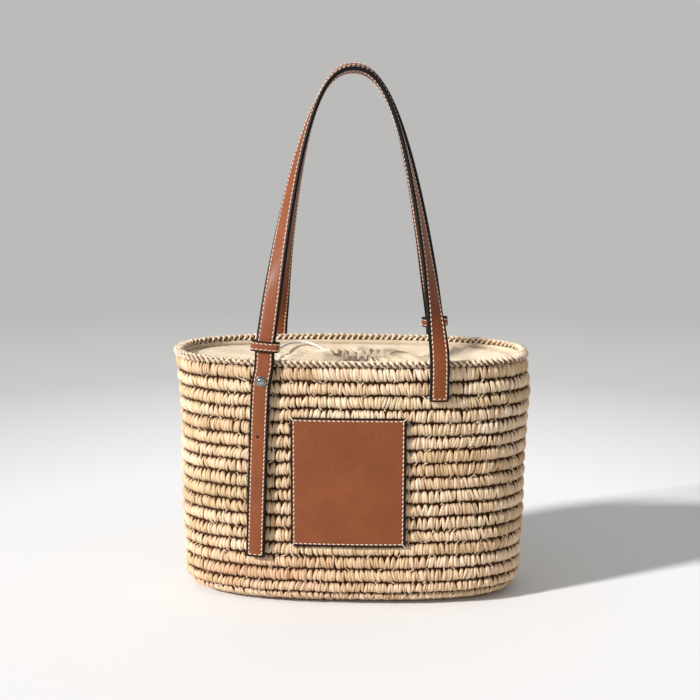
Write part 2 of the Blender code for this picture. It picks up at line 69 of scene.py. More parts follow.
lens = bpy.data.cameras.new("camera")
lens.sensor_width = 36.0
lens.lens = FOCAL_PX * lens.sensor_width / IMAGE_PX
lens.shift_x = (IMAGE_PX / 2.0 - AXIS_PX) / IMAGE_PX
camera = add_object("camera", lens)
camera.location = CAMERA_PLACE
camera.rotation_euler = (math.pi / 2.0 - CAMERA_PITCH, CAMERA_ROLL, CAMERA_TURN)
bpy.context.scene.camera = camera
print("focal length in mm:", round(lens.lens, 1))

# %% [markdown]
# ## Meshes from arrays
# Blender can build meshes face by face, but a bag with thousands of loops is quicker as whole
# arrays: all points at once, all faces at once. `foreach_set` hands such arrays to the mesh
# without a loop in Python. The map named OFBake gives each face its own place on a flat sheet,
# which the finishes and a later bake can both read.

# %% One helper for every mesh
MAP_NAME = "OFBake"


def make_piece(name, points, face_sets, maps, finishes, slot, replaces=(), painted=None, flip=True, first=0):
    """Make one smooth mesh object at the origin, riding on the bag.

    face_sets holds one index array per number of corners, maps the flat coordinates of the same
    corners, and painted the faces with the second finish. flip turns every face round, and
    first moves the corner that it starts from, which decides how a bent quad is split.
    """
    face_sets, maps = ([np.roll(part[:, ::-1] if flip else part, first, axis=1) for part in parts]
                       for parts in (face_sets, maps))
    mesh = bpy.data.meshes.new(name)
    corners = np.concatenate([faces.ravel() for faces in face_sets]).astype(np.int32)
    sizes = np.concatenate([np.full(len(faces), faces.shape[1]) for faces in face_sets])
    starts = np.concatenate([[0], np.cumsum(sizes)[:-1]]).astype(np.int32)
    mesh.vertices.add(len(points))
    mesh.vertices.foreach_set("co", np.asarray(points, dtype=np.float32).ravel())
    mesh.loops.add(len(corners))
    mesh.loops.foreach_set("vertex_index", corners)
    mesh.polygons.add(len(sizes))
    mesh.polygons.foreach_set("loop_start", starts)
    if painted is not None:
        mesh.polygons.foreach_set("material_index", painted.astype(np.int32))
    mesh.update(calc_edges=True)
    flat = np.concatenate([part.reshape(-1, 2) for part in maps]).astype(np.float32)
    mesh.uv_layers.new(name=MAP_NAME).uv.foreach_set("vector", flat.ravel())
    for finish in finishes:
        mesh.materials.append(finish)
    mesh.shade_smooth()
    piece = add_object(name, mesh)
    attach(piece, "root")
    if replaces:
        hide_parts(*replaces)
    print(f"{name}: {len(points)} points, {int((sizes - 2).sum())} triangles")
    return piece


def grid(rows, columns, closed_rows=False, closed_columns=False):
    """Quads over a grid of points, and each corner's (column, row) without wrapping round."""
    row_steps = rows if closed_rows else rows - 1
    column_steps = columns if closed_columns else columns - 1
    row, column = np.meshgrid(np.arange(row_steps), np.arange(column_steps), indexing="ij")
    row, column = row.ravel(), column.ravel()
    corner_rows = np.stack([row, row, row + 1, row + 1], axis=1)
    corner_columns = np.stack([column, column + 1, column + 1, column], axis=1)
    faces = corner_rows % rows * columns + corner_columns % columns
    return faces, np.stack([corner_columns, corner_rows], axis=2).astype(float)


def unit(vectors):
    """Vectors scaled to length 1."""
    return vectors / np.maximum(np.linalg.norm(vectors, axis=-1, keepdims=True), 1e-12)


def travel_along(points):
    """The distance travelled along a line of points, at each point."""
    steps = np.linalg.norm(np.diff(points, axis=0), axis=1)
    return np.concatenate([[0.0], np.cumsum(steps)])


def read_line(points, travel, stops):
    """Points of a line at given distances along it."""
    return np.stack([np.interp(stops, travel, points[:, axis]) for axis in range(3)], axis=-1)


def evenly(points, count):
    """Points at equal distances along a line of points."""
    travel = travel_along(points)
    return read_line(points, travel, np.linspace(0.0, travel[-1], count))


# %% [markdown]
# ## Shader maths in Python
# A finish is a small sum: streaks plus blotches, less where a strand dives under. Typed as
# expressions such as `1 - mask * 0.4` the sum stays readable, so one class wraps a socket and
# turns each operator into a Math node. Every other node comes from the single method `node`.

# %% Sockets as numbers, finishes as objects
class Number:
    """A shader value that adds a Math node for each operator used on it."""

    def __init__(self, finish, socket):
        self.finish = finish
        self.socket = socket

    def maths(self, operation, *values, clamp=False):
        """One Math node on these values, in the order given."""
        settings = {"operation": operation, "use_clamp": clamp}
        return self.finish.node("ShaderNodeMath", settings, dict(enumerate(values)))

    def __add__(self, other):
        return self.maths("ADD", self, other)

    def __sub__(self, other):
        return self.maths("SUBTRACT", self, other)

    def __rsub__(self, other):
        return self.maths("SUBTRACT", other, self)

    def __mul__(self, other):
        return self.maths("MULTIPLY", self, other)

    __radd__ = __add__
    __rmul__ = __mul__

    def above(self, low, high):
        """0 below low, 1 above high and a straight slope between them."""
        return self.maths("MULTIPLY", self - low, 1.0 / (high - low), clamp=True)


def paint(red, green, blue):
    """A colour written as 0 to 255, turned into linear light."""
    share = np.array([red, green, blue]) / 255.0
    light = np.where(share <= 0.04045, share / 12.92, ((share + 0.055) / 1.055) ** 2.4)
    return (*(float(v) for v in light), 1.0)


class Finish:
    """One material: its nodes, its Principled shader and the coordinates that it reads."""

    def __init__(self, name, **fixed):
        self.material = bpy.data.materials.new(name)
        self.material.use_nodes = True
        self.tree = self.material.node_tree
        self.surface(**fixed)

    def node(self, kind, settings=None, inputs=None, output=0):
        """Add a node, set it up, then fill its sockets with values or links."""
        made = self.tree.nodes.new(kind)
        for label, value in (settings or {}).items():
            if label == "stops":
                ramp = made.color_ramp.elements
                while len(ramp) < len(value):
                    ramp.new(0.5)
                for element, (place, colour) in zip(ramp, value):
                    element.position = place
                    element.color = colour
            else:
                setattr(made, label, value)
        for label, value in (inputs or {}).items():
            self.feed(made.inputs[label], value)
        return Number(self, made.outputs[output])

    def feed(self, socket, value):
        """Link a socket, or set its own value."""
        if isinstance(value, Number):
            self.tree.links.new(value.socket, socket)
        else:
            socket.default_value = value

    def surface(self, **values):
        """Feed sockets of the Principled shader, whose names have _ for a space."""
        for label, value in values.items():
            self.feed(self.tree.nodes["Principled BSDF"].inputs[label.replace("_", " ")], value)
        return self.material

    def place(self, scale=(1.0, 1.0, 1.0), flat=False):
        """Object coordinates in metres, or the piece's own flat map, stretched by a scale."""
        point = (self.node("ShaderNodeUVMap", {"uv_map": MAP_NAME}) if flat
                 else self.node("ShaderNodeTexCoord", output=3))
        return self.node("ShaderNodeMapping", {}, {"Vector": point, "Scale": scale})

    def stored(self, name):
        """A number stored on the mesh's points."""
        return self.node("ShaderNodeAttribute", {"attribute_name": name}, output=2)

    def noise(self, vector, scale=1.0, detail=3.0, roughness=0.55):
        """Soft cloudy noise between 0 and 1."""
        return self.node("ShaderNodeTexNoise", {}, {
            "Vector": vector, "Scale": scale, "Detail": detail, "Roughness": roughness})

    def ramp(self, value, *stops):
        """A colour for each value, blended between stops of (value, red, green, blue)."""
        stops = [(stop, paint(*colour)) for stop, *colour in stops]
        return self.node("ShaderNodeValToRGB", {"stops": stops}, {"Fac": value})

    def mix(self, mask, first, second):
        """The first colour where the mask is 0, the second where it is 1."""
        return self.node("ShaderNodeMix", {"data_type": "RGBA"}, {0: mask, 6: first, 7: second}, output=2)

    def bump(self, height, distance):
        """A bump in metres."""
        return self.node("ShaderNodeBump", {}, {"Height": height, "Distance": distance, "Strength": 1.0})


# %% [markdown]
# ## Strands
# Raffia, thread and plaited straw are all the same thing at this scale: a short strand, thick
# in its middle and pointed where it dives under its neighbour. One function makes thousands of
# them as closed six-sided spindles, so each costs only a few dozen faces.

# %% Closed tapered strands
STRAND_SIDES = 6
STITCH_FAT = (0.0, 0.75, 1.0, 1.0, 0.75, 0.0)
CELL_MARGIN = 0.06
UP = np.array([0.0, 0.0, 1.0])


def spokes(side, lift, count):
    """Steps round a point, or each point of a line: cos a side + sin a lift."""
    angle = np.arange(count) * 2.0 * math.pi / count
    return np.cos(angle)[:, None] * side[..., None, :] + np.sin(angle)[:, None] * lift[..., None, :]


def square_to(vectors, direction):
    """Unit vectors with what runs along a direction taken out."""
    return unit(vectors - np.sum(vectors * direction, axis=-1, keepdims=True) * direction)


def tube_faces(rings, sides):
    """Quads between a tube's rings and a fan over each end, with their flat corners.

    The tube's points are those of its rings, then one for each end.
    """
    side = np.arange(sides)
    after = (side + 1) % sides
    end = rings * sides
    fans = np.concatenate([
        np.stack([np.full(sides, end), after, side], axis=1),
        np.stack([np.full(sides, end + 1), end - sides + side, end - sides + after], axis=1)])
    quads, flat = grid(rings, sides, closed_columns=True)
    step = 1.0 / (rings + 1)
    low = np.array([[0.5, 0.0], [1.0, step], [0.0, step]])
    high = np.array([[0.5, 1.0], [0.0, 1.0 - step], [1.0, 1.0 - step]])
    shift = np.stack([side, np.zeros(sides)], axis=1)[:, None]
    fan_maps = np.concatenate([low + shift, high + shift]) / (sides, 1.0)
    return [quads, fans], [flat * (1.0 / sides, step) + (0.0, step), fan_maps]


def strand_points(centre, across, half_width, half_thickness):
    """Points of many strands at once.

    centre is (strand, stop, 3), and its first and last stops are the tips. Round every other
    stop goes a ring: centre + cos(a) half_width across + sin(a) half_thickness outward, where
    outward stands square to the strand's own direction and to across.
    """
    heading = unit(np.gradient(centre, axis=1))
    across = square_to(across, heading)
    outward = np.cross(across, heading)
    ring = centre[:, :, None] + spokes(half_width[..., None] * across, half_thickness[..., None] * outward,
                                       STRAND_SIDES)
    return np.concatenate([ring[:, 1:-1].reshape(len(centre), -1, 3), centre[:, [0, -1]]], axis=1)


def strand_mesh(name, points, finish, slot):
    """Join strands into one piece, each with its own cell of the flat map."""
    count, per_strand = points.shape[:2]
    face_sets, maps = tube_faces((per_strand - 2) // STRAND_SIDES, STRAND_SIDES)
    columns = math.ceil(math.sqrt(2.0 * count))
    cell = np.array([1.0 / columns, 1.0 / math.ceil(count / columns)])
    low = np.stack([np.arange(count) % columns, np.arange(count) // columns], axis=1) * cell
    first = (np.arange(count) * per_strand)[:, None, None]
    maps = [(part * (1.0 - 2.0 * CELL_MARGIN) + CELL_MARGIN)[None] * cell + low[:, None, None]
            for part in maps]
    return make_piece(name, points.reshape(-1, 3),
                      [(part[None] + first).reshape(-1, part.shape[1]) for part in face_sets],
                      [part.reshape(-1, part.shape[2], 2) for part in maps], [finish], slot, first=1)


# %% [markdown]
# ## Raffia
# Raffia is a palm leaf, split and twisted: matt, a little waxy, with fine lengthwise fibres.
# No two strands have the same colour, since each leaf dried differently, so the mesh carries
# two numbers per loop, its tint and its warmth, and a third that paints shade near its tips. The
# fibres follow each loop's own flat map, because a pattern in space would cut straight through the loops.

# %% The raffia finish
FIBRES_AROUND, FIBRES_ALONG = 960.0, 75.0


def raffia():
    """Straw-coloured strands with fibres along them, and painted shade at the tips that dive under."""
    made = Finish("straw_raffia", Specular_IOR_Level=0.28)
    tint, warm, end = (made.stored(name) for name in ("tint", "warm", "end"))
    streak = made.noise(made.place((FIBRES_AROUND, FIBRES_ALONG, 1.0), flat=True), 1.0, 4.0, 0.68)
    blotch = made.noise(made.place(), 230.0, 2.0)
    tone = tint * 0.52 + streak * 0.56 + blotch * 0.26 - 0.14
    colour = made.ramp(tone, (0.00, 118, 80, 46), (0.28, 190, 155, 114),
                       (0.62, 228, 199, 165), (1.00, 252, 238, 217))
    rosy = made.mix(warm.above(0.66, 0.95) * 0.40, colour, paint(204, 152, 124))
    green = made.mix((1.0 - warm).above(0.72, 0.95) * 0.35, rosy, paint(202, 190, 142))
    print("raffia nodes:", len(made.tree.nodes))
    # Painted shade: strands turn dark brown towards their tips, where they dive under their neighbours.
    return made.surface(Base_Color=made.mix(end * 0.90, green, paint(86, 51, 27)),
                        Roughness=0.54 + streak * 0.25,
                        Normal=made.bump(streak + blotch * 0.5, 0.00070))


def plain_finish(name, scale, low, high, bump=0.0, rough=(0.5, 0.0), detail=3.0,
                 stretch=(1.0, 1.0, 1.0), span=(0.3, 0.7), **fixed):
    """One soft noise that drives the colour, the roughness and perhaps a bump."""
    made = Finish(name, **fixed)
    tone = made.noise(made.place(stretch), scale, detail)
    made.surface(Base_Color=made.ramp(tone, (span[0], *low), (span[1], *high)),
                 Roughness=rough[0] + tone * rough[1] if rough[1] else rough[0])
    if bump:
        made.surface(Normal=made.bump(tone, bump))
    return made.material


straw = raffia()
# The coarse core of the wall is painted near black-brown: painted shade that shows between the loops.
shaded_straw_core = plain_finish("shaded_straw_core", 420.0, (34, 18, 8), (82, 50, 27), 0.0006, (0.9, 0.0),
                          stretch=(1.0, 1.0, 5.0), span=(0.30, 0.72), Specular_IOR_Level=0.1)

# %% [markdown]
# ## The basket's wall as a function
# The real basket is crocheted round and round on an oval, so its wall is one surface of two
# numbers: the share of the way round, and the distance down from the rim. The plan is a
# superellipse, |x/a|^n + |y/b|^n = 1, spaced by its own length. Below the wall the same
# surface turns under with a round foot and runs on across the flat base.

# %% Wall coordinates
RIM_HALF_WIDTH, RIM_HALF_DEPTH = 0.1540, 0.0690
PLAN_ROUNDNESS = 2.57
WALL_TOP, EDGE_RADIUS = 0.2120, 0.0220
STRAW_WALL = 0.0050
ROW_COUNT = 19
WALL_LENGTH = WALL_TOP - EDGE_RADIUS + EDGE_RADIUS * math.pi / 2.0
ROW_PITCH = WALL_LENGTH / ROW_COUNT
GAP = 0.0003
WALL_SECTIONS = {
    "height": (0.00, 0.10, 0.30, 0.56, 0.70, 0.80, 0.88, 0.95, 1.00),
    "width": (0.978, 0.983, 0.993, 0.995, 0.998, 1.004, 1.010, 1.007, 1.005),
    "depth": (0.945, 0.953, 0.966, 0.974, 0.980, 0.988, 0.997, 1.000, 1.000),
    "lean": (0.000, 0.002, 0.005, 0.004, 0.009, 0.012, 0.011, 0.001, -0.010),
}


def signed_power(values, power):
    """A power of the size that keeps the sign."""
    return np.sign(values) * np.abs(values) ** power


def squarish(count, power):
    """Both coordinates round a superellipse: signed powers of cos a and sin a."""
    angle = np.linspace(0.0, 2.0 * math.pi, count)
    return signed_power(np.cos(angle), power), signed_power(np.sin(angle), power)


def plan_table():
    """The unit superellipse, the share of its length at each point, and the rim's length."""
    x, y = squarish(5761, 2.0 / PLAN_ROUNDNESS)
    travel = travel_along(np.column_stack([x * RIM_HALF_WIDTH, y * RIM_HALF_DEPTH]))
    return x, y, travel / travel[-1], travel[-1]


PLAN_X, PLAN_Y, PLAN_SHARE, RIM_LENGTH = plan_table()


def plan(share):
    """The unit plan at a share of the way round, from +X towards the back."""
    return np.interp(share % 1.0, PLAN_SHARE, PLAN_X), np.interp(share % 1.0, PLAN_SHARE, PLAN_Y)


def wall_size(height):
    """Half width, half depth and sideways lean of the basket's outside at a height."""
    part = height / WALL_TOP
    wide, deep, lean = (np.interp(part, WALL_SECTIONS["height"], WALL_SECTIONS[name])
                        for name in ("width", "depth", "lean"))
    return RIM_HALF_WIDTH * wide, RIM_HALF_DEPTH * deep, RIM_HALF_WIDTH * lean


def level_normal(x, y, half_width, half_depth):
    """The plan's outward direction: (sign x |x|^(n - 1) / a, sign y |y|^(n - 1) / b, 0)."""
    power = PLAN_ROUNDNESS - 1.0
    return unit(np.stack([signed_power(x, power) / half_width, signed_power(y, power) / half_depth,
                          np.zeros_like(x)], axis=-1))


def wall_point(share, down, out=0.0):
    """A point of the wall, and the wall's outward direction there.

    down is the distance from the rim along the wall, and out the distance in front of the
    straw's crests. Past the foot's quarter circle, down runs inwards across the base.
    """
    share, down, out = np.broadcast_arrays(share, down, out)
    straight = WALL_TOP - EDGE_RADIUS
    bend = np.clip((down - straight) / EDGE_RADIUS, 0.0, math.pi / 2.0)
    height = np.where(down < straight, WALL_TOP - down, EDGE_RADIUS * (1.0 - np.sin(bend)))
    inset = EDGE_RADIUS * (1.0 - np.cos(bend)) + np.maximum(down - WALL_LENGTH, 0.0)
    half_width, half_depth, lean = wall_size(height)
    half_width = half_width - inset
    half_depth = np.maximum(half_depth - inset, 0.0)
    x, y = plan(share)
    outward = level_normal(x, y, half_width, np.maximum(half_depth, 0.001)) * np.cos(bend)[..., None]
    outward[..., 2] = -np.sin(bend)
    surface = np.stack([half_width * x + lean, half_depth * y, height], axis=-1)
    return surface + out[..., None] * outward, outward


def row_length(down):
    """The length once round the basket at a distance down the wall."""
    points, _ = wall_point(np.linspace(0.0, 1.0, 721), np.full(721, down))
    return travel_along(points)[-1]


print("round the rim in mm:", round(RIM_LENGTH * 1000), "row pitch:", round(ROW_PITCH * 1000, 2))

# %% [markdown]
# ## Crochet rows
# Each crochet stitch shows as two upright legs of raffia that bulge over the row's core and
# come together at their tips, so a dark arch opens above every pair. They could be a bump on
# a ribbed wall, but the arches are real holes with real shadows. So every leg is a strand of
# its own, laid out in the wall's own coordinates and then carried onto the wall.

# %% One row of stitches
STITCH_PITCH = 0.0050
LEG_STOPS = {
    "way": (0.00, 0.07, 0.26, 0.52, 0.78, 0.94, 1.00),
    "wide": (0.0, 0.78, 1.03, 1.08, 1.00, 0.70, 0.0),
    "thick": (0.0, 0.64, 0.98, 1.00, 0.90, 0.62, 0.0),
    # end is painted shade: darker towards each leg's tips, where they dive under.
    "end": (0.85, 0.34, 0.03, 0.0, 0.05, 0.42, 0.95),
}
LEG_FULLNESS, FULLNESS_SPREAD = 1.27, 0.19
LEG_HALF_THICKNESS = 0.00105
LEG_CREST, LEG_DIVE = -0.00090, 0.0028
FOOT_REACH, TIP_REACH, RIM_REACH = 0.0002, 0.0009, 0.0019
ROW_WAVES, ROW_WANDER, SLANT_WAVES = (2, 3, 5, 9, 14), 0.00045, (1, 2, 4, 7, 13)
BASE_ROUNDS, BASE_PITCH, BASE_SINK, BASE_UNEVENNESS = 4, 0.0107, 0.0007, 0.3


def wander(share, waves, size, seed):
    """A slow closed wobble: the sum of a few whole waves round the basket."""
    draw = np.random.default_rng(seed)
    total = np.zeros_like(share)
    for count in waves:
        total += draw.normal(0.0, 1.0) * np.sin(2.0 * math.pi * (count * share + draw.random()))
    return size * total / math.sqrt(len(waves))


def stretches(count, low, high):
    """One number per leg that stays the same while one strand of raffia lasts."""
    lengths = rng.integers(low, high, count)
    return np.repeat(rng.random(count), lengths)[:count]


def jitter(count, size):
    """One small random number per strand, as a column."""
    return rng.normal(0.0, size, (count, 1))


def crochet_row(row):
    """Points, tints and warmth of all the legs in one row, counted from the rim down."""
    on_base = row >= ROW_COUNT
    pitch = BASE_PITCH if on_base else ROW_PITCH
    top = WALL_LENGTH + (row - ROW_COUNT) * BASE_PITCH if on_base else row * ROW_PITCH
    length = row_length(top + 0.5 * pitch)
    legs = 2 * round(length / STITCH_PITCH)
    index = np.arange(legs)[:, None]
    side = np.where(index % 2 == 0, 1.0, -1.0)
    middle = (index + 0.5 + jitter(legs, 0.15)) / legs
    way, wide, thick, _ = np.array(list(LEG_STOPS.values()))[:, None]

    uneven = ROW_WANDER * (BASE_UNEVENNESS if on_base else 1.0)
    above, below = (top + step * pitch + wander(middle, ROW_WAVES, uneven, 100 + row + step)
                    for step in (0, 1))
    foot = below - FOOT_REACH + jitter(legs, 0.00030)
    tip = above + TIP_REACH + jitter(legs, 0.00036) - (RIM_REACH if row == 0 else 0.0)
    down = foot + (tip - foot) * way

    slant = wander(middle, SLANT_WAVES, 0.55, 300 + row) + jitter(legs, 0.42)
    slant += (1.4 * stretches(legs, 5, 26) - 0.7)[:, None]
    closing = 0.34 * way ** 2 - 0.12 * (1.0 - way)
    bow = jitter(legs, 0.12) * 4.0 * way * (1.0 - way)
    share = middle + (side * closing + slant * (way - 0.5) + bow) / legs
    lift = jitter(legs, 0.00026).clip(-0.0006, 0.0004)
    dive = LEG_DIVE * np.abs(2.0 * way - 1.0) ** 2.5
    sink = BASE_SINK * np.clip((down - WALL_LENGTH + EDGE_RADIUS) / EDGE_RADIUS, 0.0, 1.0)
    centre, _ = wall_point(share, down, LEG_CREST + lift - dive - sink)

    ahead, behind = (wall_point(share + step / legs, down)[0] for step in (1.0, -1.0))
    half = 0.5 * length / legs * (LEG_FULLNESS + jitter(legs, FULLNESS_SPREAD).clip(-0.38, 0.42))
    thick = LEG_HALF_THICKNESS * thick * np.ones((legs, 1))
    points = strand_points(centre, ahead - behind, half * wide, thick)
    upper = np.clip(1.0 - row / 9.0, -1.0, 1.0)
    tint = 0.55 * stretches(legs, 6, 40) + 0.45 * rng.random(legs) + 0.06 * upper
    warm = 0.65 * stretches(legs, 8, 60) + 0.35 * rng.random(legs) - 0.20 * upper - 0.04
    return points, tint, warm


def store_raffia(piece, per_strand, tint, warm, end):
    """Keep tint, warmth and the painted tip shade on every point, spread over (strand, point)."""
    shape = (len(piece.data.vertices) // per_strand, per_strand)
    for label, numbers in (("tint", tint), ("warm", warm), ("end", end)):
        spread = np.broadcast_to(numbers, shape).astype(np.float32)
        piece.data.attributes.new(label, "FLOAT", "POINT").data.foreach_set("value", spread.ravel())


def raffia_strands(name, points, tint, warm, end):
    """Join raffia strands into one piece that stores their colours' numbers."""
    piece = strand_mesh(name, points, straw, "straw")
    ends = np.concatenate([np.repeat(end[1:-1], STRAND_SIDES), [end[0], end[-1]]])
    store_raffia(piece, points.shape[1], tint[:, None], warm[:, None], ends)


for name, rows in (("straw_rows_upper", range(6)), ("straw_rows_middle", range(6, 12)),
                   ("straw_rows_lower", range(12, ROW_COUNT)),
                   ("straw_base_rounds", range(ROW_COUNT, ROW_COUNT + BASE_ROUNDS))):
    raffia_strands(name, *(np.concatenate(part) for part in zip(*map(crochet_row, rows))), LEG_STOPS["end"])

# %% [markdown]
# ## Loops across the gaps
# Where one row hooks into the next, a loop of raffia crosses the dark gap now and then, and a few
# split fibres stand off. They are short thin strands at the row lines, each with its own lean.

# %% Crossing fibres
CROSSINGS_PER_ROW = 44
FIBRE_WAY = (0.00, 0.14, 0.38, 0.62, 0.86, 1.00)
# Painted shade towards the fibres' tips, where they dive under.
FIBRE_TIP_SHADE = (0.5, 0.2, 0.0, 0.0, 0.2, 0.5)
FIBRE_LENGTH, FIBRE_RADIUS = (0.0036, 0.0062), (0.00028, 0.00050)
FIBRE_DEPTH, FIBRE_BOW = -0.0023, (0.0006, 0.0015)


def crossing_fibres():
    """Short strands centred near the row lines, leaning either way and bowed outwards."""
    count = CROSSINGS_PER_ROW * ROW_COUNT
    way = np.array(FIBRE_WAY)[None, :]
    line = np.repeat(np.arange(ROW_COUNT), CROSSINGS_PER_ROW)
    share = rng.random(count)
    lean = rng.choice([-1.0, 1.0], count) * rng.uniform(0.3, 1.2, count)
    length = rng.uniform(*FIBRE_LENGTH, count)
    waves = np.concatenate([wander(share[line == row], ROW_WAVES, ROW_WANDER, 100 + row)
                            for row in range(ROW_COUNT)])
    down = (line * ROW_PITCH + waves + rng.normal(0.0, 0.0005, count))[:, None]
    down = down + (way - 0.5) * (length * np.cos(lean))[:, None]
    around = share[:, None] + (way - 0.5) * (length * np.sin(lean) / RIM_LENGTH)[:, None]
    bow = 4.0 * way * (1.0 - way) * rng.uniform(*FIBRE_BOW, (count, 1))
    centre, outward = wall_point(around, down, FIBRE_DEPTH + bow)
    fat = rng.uniform(*FIBRE_RADIUS, (count, 1)) * np.array(STITCH_FAT)[None, :]
    across = np.cross(outward, np.gradient(centre, axis=1))
    raffia_strands("straw_crossings", strand_points(centre, across, fat * 1.25, fat * 0.8),
                   rng.uniform(0.3, 1.0, count), rng.random(count), FIBRE_TIP_SHADE)


crossing_fibres()

# %% [markdown]
# ## The wall behind the loops
# Between the loops one looks into the dark thickness of the wall. A thin closed shell stands
# there, coloured near black-brown as painted shade: its outside lies in the shadow behind the
# loops, and its inside is what a hand in the bag would touch. It is one profile carried once
# round the plan and closed along the middle of the base.

# %% The basket's shell
SHELL_COLUMNS = 180
SHELL_DEPTH = 0.0031


def skin(name, rings, finishes, slot, replaces=(), closed=(True, True), ends=None, **settings):
    """Carry rings of points into one piece: closed as told, or with a fan over each end."""
    rows, columns = rings.shape[:2]
    points = rings.reshape(-1, 3)
    if ends is None:
        faces, flat = grid(rows, columns, *closed)
        face_sets, maps = [faces], [flat / flat.max(axis=(0, 1))]
    else:
        points = np.vstack([points, ends])
        face_sets, maps = tube_faces(rows, columns)
    return make_piece(name, points, face_sets, maps, finishes, slot, replaces, **settings)


def basket_shell():
    """Carry a profile round the plan: down the outside, in across the base and back up."""
    foot, middle = WALL_TOP - EDGE_RADIUS, WALL_LENGTH + BASE_ROUNDS * BASE_PITCH
    outside = np.concatenate([np.linspace(0.0, foot, 24, endpoint=False),
                              np.linspace(foot, WALL_LENGTH, 12, endpoint=False),
                              np.linspace(WALL_LENGTH, middle, 8)])
    down = np.concatenate([outside, outside[::-1]])[:, None]
    out = np.repeat([-SHELL_DEPTH, -STRAW_WALL], len(outside))[:, None]
    share = (np.arange(SHELL_COLUMNS) / SHELL_COLUMNS)[None, :]
    points, _ = wall_point(share, down, out)
    # The shell's near black-brown straw is painted shade behind the loops.
    skin("basket_shell", points, [shaded_straw_core], "straw", ("basket_body",))


basket_shell()

# %% [markdown]
# ## The braided rim
# The top edge is a flat plait of three raffia strands. A plait has a simple formula: each
# strand swings from side to side while it rises and falls twice as often, and the three are a
# third of a turn apart. Carried round the rim on whole turns, the plait closes on itself.

# %% Plait round the rim
BRAID_WIDTH, BRAID_HEIGHT = 0.0072, 0.0062
PLAIT_TURNS, PLAIT_STATIONS, PLAIT_SIDES = 47, 752, 9
PLAIT_STRAND = (0.00205, 0.00158)
PLAIT_WANDER = {
    "across": ((23, 41, 67, 89), 0.00058, 900),
    "up": ((29, 47, 73, 101), 0.00050, 920),
    "fat": ((31, 53, 71, 97), 0.17, 950),
    "tint": ((5, 9, 17, 29), 0.18, 980),
}
CORE_STATIONS, CORE_SIDES = 180, 8


def rim_line(stations):
    """Points round the middle of the wall's top edge, and their outward directions."""
    foot, outward = wall_point(np.arange(stations) / stations, 0.0, -STRAW_WALL / 2.0)
    foot[:, 2] = WALL_TOP
    return foot, outward


def rim_plait():
    """Three closed strands: across = A sin t, up = B sin 2t, with t shifted by a third each."""
    foot, outward = rim_line(PLAIT_STATIONS)
    share = np.arange(PLAIT_STATIONS) / PLAIT_STATIONS
    heading = unit(np.roll(foot, -1, axis=0) - np.roll(foot, 1, axis=0))
    half_width, half_thickness = PLAIT_STRAND
    quads, flat = grid(PLAIT_STATIONS, PLAIT_SIDES, closed_rows=True, closed_columns=True)
    points, faces, maps, tints = [], [], [], []
    for strand in range(3):
        turn = 2.0 * math.pi * (PLAIT_TURNS * share + strand / 3.0)
        across, up, fat, tint = (wander(share, waves, size, seed + strand)
                                 for waves, size, seed in PLAIT_WANDER.values())
        across += (BRAID_WIDTH / 2.0 - half_width) * np.sin(turn)
        up += GAP + BRAID_HEIGHT / 2.0 + (BRAID_HEIGHT / 2.0 - half_thickness) * np.sin(2.0 * turn)
        side = unit(outward + 0.55 * np.cos(turn)[:, None] * heading)
        centre = foot + across[:, None] * outward + up[:, None] * UP
        ring = spokes((half_width * (1.0 + fat))[:, None] * side, half_thickness * UP, PLAIT_SIDES)
        points.append((centre[:, None] + ring).reshape(-1, 3))
        faces.append(quads + strand * PLAIT_STATIONS * PLAIT_SIDES)
        maps.append(flat / (PLAIT_SIDES * 3, PLAIT_STATIONS) + (strand / 3.0, 0.0))
        tints.append(1.04 + tint)
    piece = make_piece("rim_plait", np.concatenate(points), [np.concatenate(faces)],
                       [np.concatenate(maps)], [straw], "straw", ("rim_braid",))
    store_raffia(piece, PLAIT_SIDES, np.concatenate(tints)[:, None], 0.5, 0.0)


def rim_core():
    """A plain core inside the plait, so no light comes through between its strands; its straw is painted
    dark as shade.
    """
    foot, outward = rim_line(CORE_STATIONS)
    ring = spokes(0.34 * BRAID_WIDTH * outward, 0.36 * BRAID_HEIGHT * UP, CORE_SIDES)
    piece = skin("rim_core", (foot + 0.48 * BRAID_HEIGHT * UP)[:, None] + ring, [straw], "straw")
    # Painted shade: the core's straw is mixed far towards dark brown.
    store_raffia(piece, CORE_SIDES, 0.20, 0.5, 0.85)


rim_plait()
rim_core()

# %% [markdown]
# ## Cotton
# The collar is a plain unbleached cotton: a fine even weave, matt, and a little see-through
# where it is single. The weave is far finer than a pixel here, so it is a small bump of two
# crossed waves on the cloth's own map, with soft cloudy shading from washing.

# %% The cotton finish
def cotton_cloth(name, threads, low, high):
    """Plain weave: a bump of sin(u) + sin(v), and a colour that drifts slightly."""
    made = Finish(name, Roughness=0.92, Specular_IOR_Level=0.15, Sheen_Weight=0.15)
    warp, weft = (made.node("ShaderNodeTexWave", {"wave_type": "BANDS", "bands_direction": way},
                            {"Vector": made.place(scale, flat=True), "Scale": 1.0, "Distortion": 0.4})
                  for way, scale in (("X", (threads[0], 1.0, 1.0)), ("Y", (1.0, threads[1], 1.0))))
    cloud = made.noise(made.place(), 60.0, 4.0)
    tone = cloud * 0.8 + (warp + weft) * 0.1
    return made.surface(Base_Color=made.ramp(tone, (0.3, *low), (0.7, *high)),
                        Normal=made.bump(warp + weft + cloud * 0.6, 0.00012))


cotton = cotton_cloth("cotton_plain", (260.0, 60.0), (222, 202, 172), (240, 224, 198))
cotton_twist = cotton_cloth("cotton_twist", (12.0, 160.0), (246, 241, 228), (254, 252, 246))

# %% [markdown]
# ## The gathered collar
# A strip of cotton is sewn round inside the rim, and a drawstring in its casing pulls the other
# edge together to a small mouth. A cloth solver could gather it, but the photo fixes where the
# folds lie, so the cloth is a surface worked out from its seam to its mouth: a slow sag, a few
# long folds, pleats that grow towards the mouth, and fine puckers along the seam.

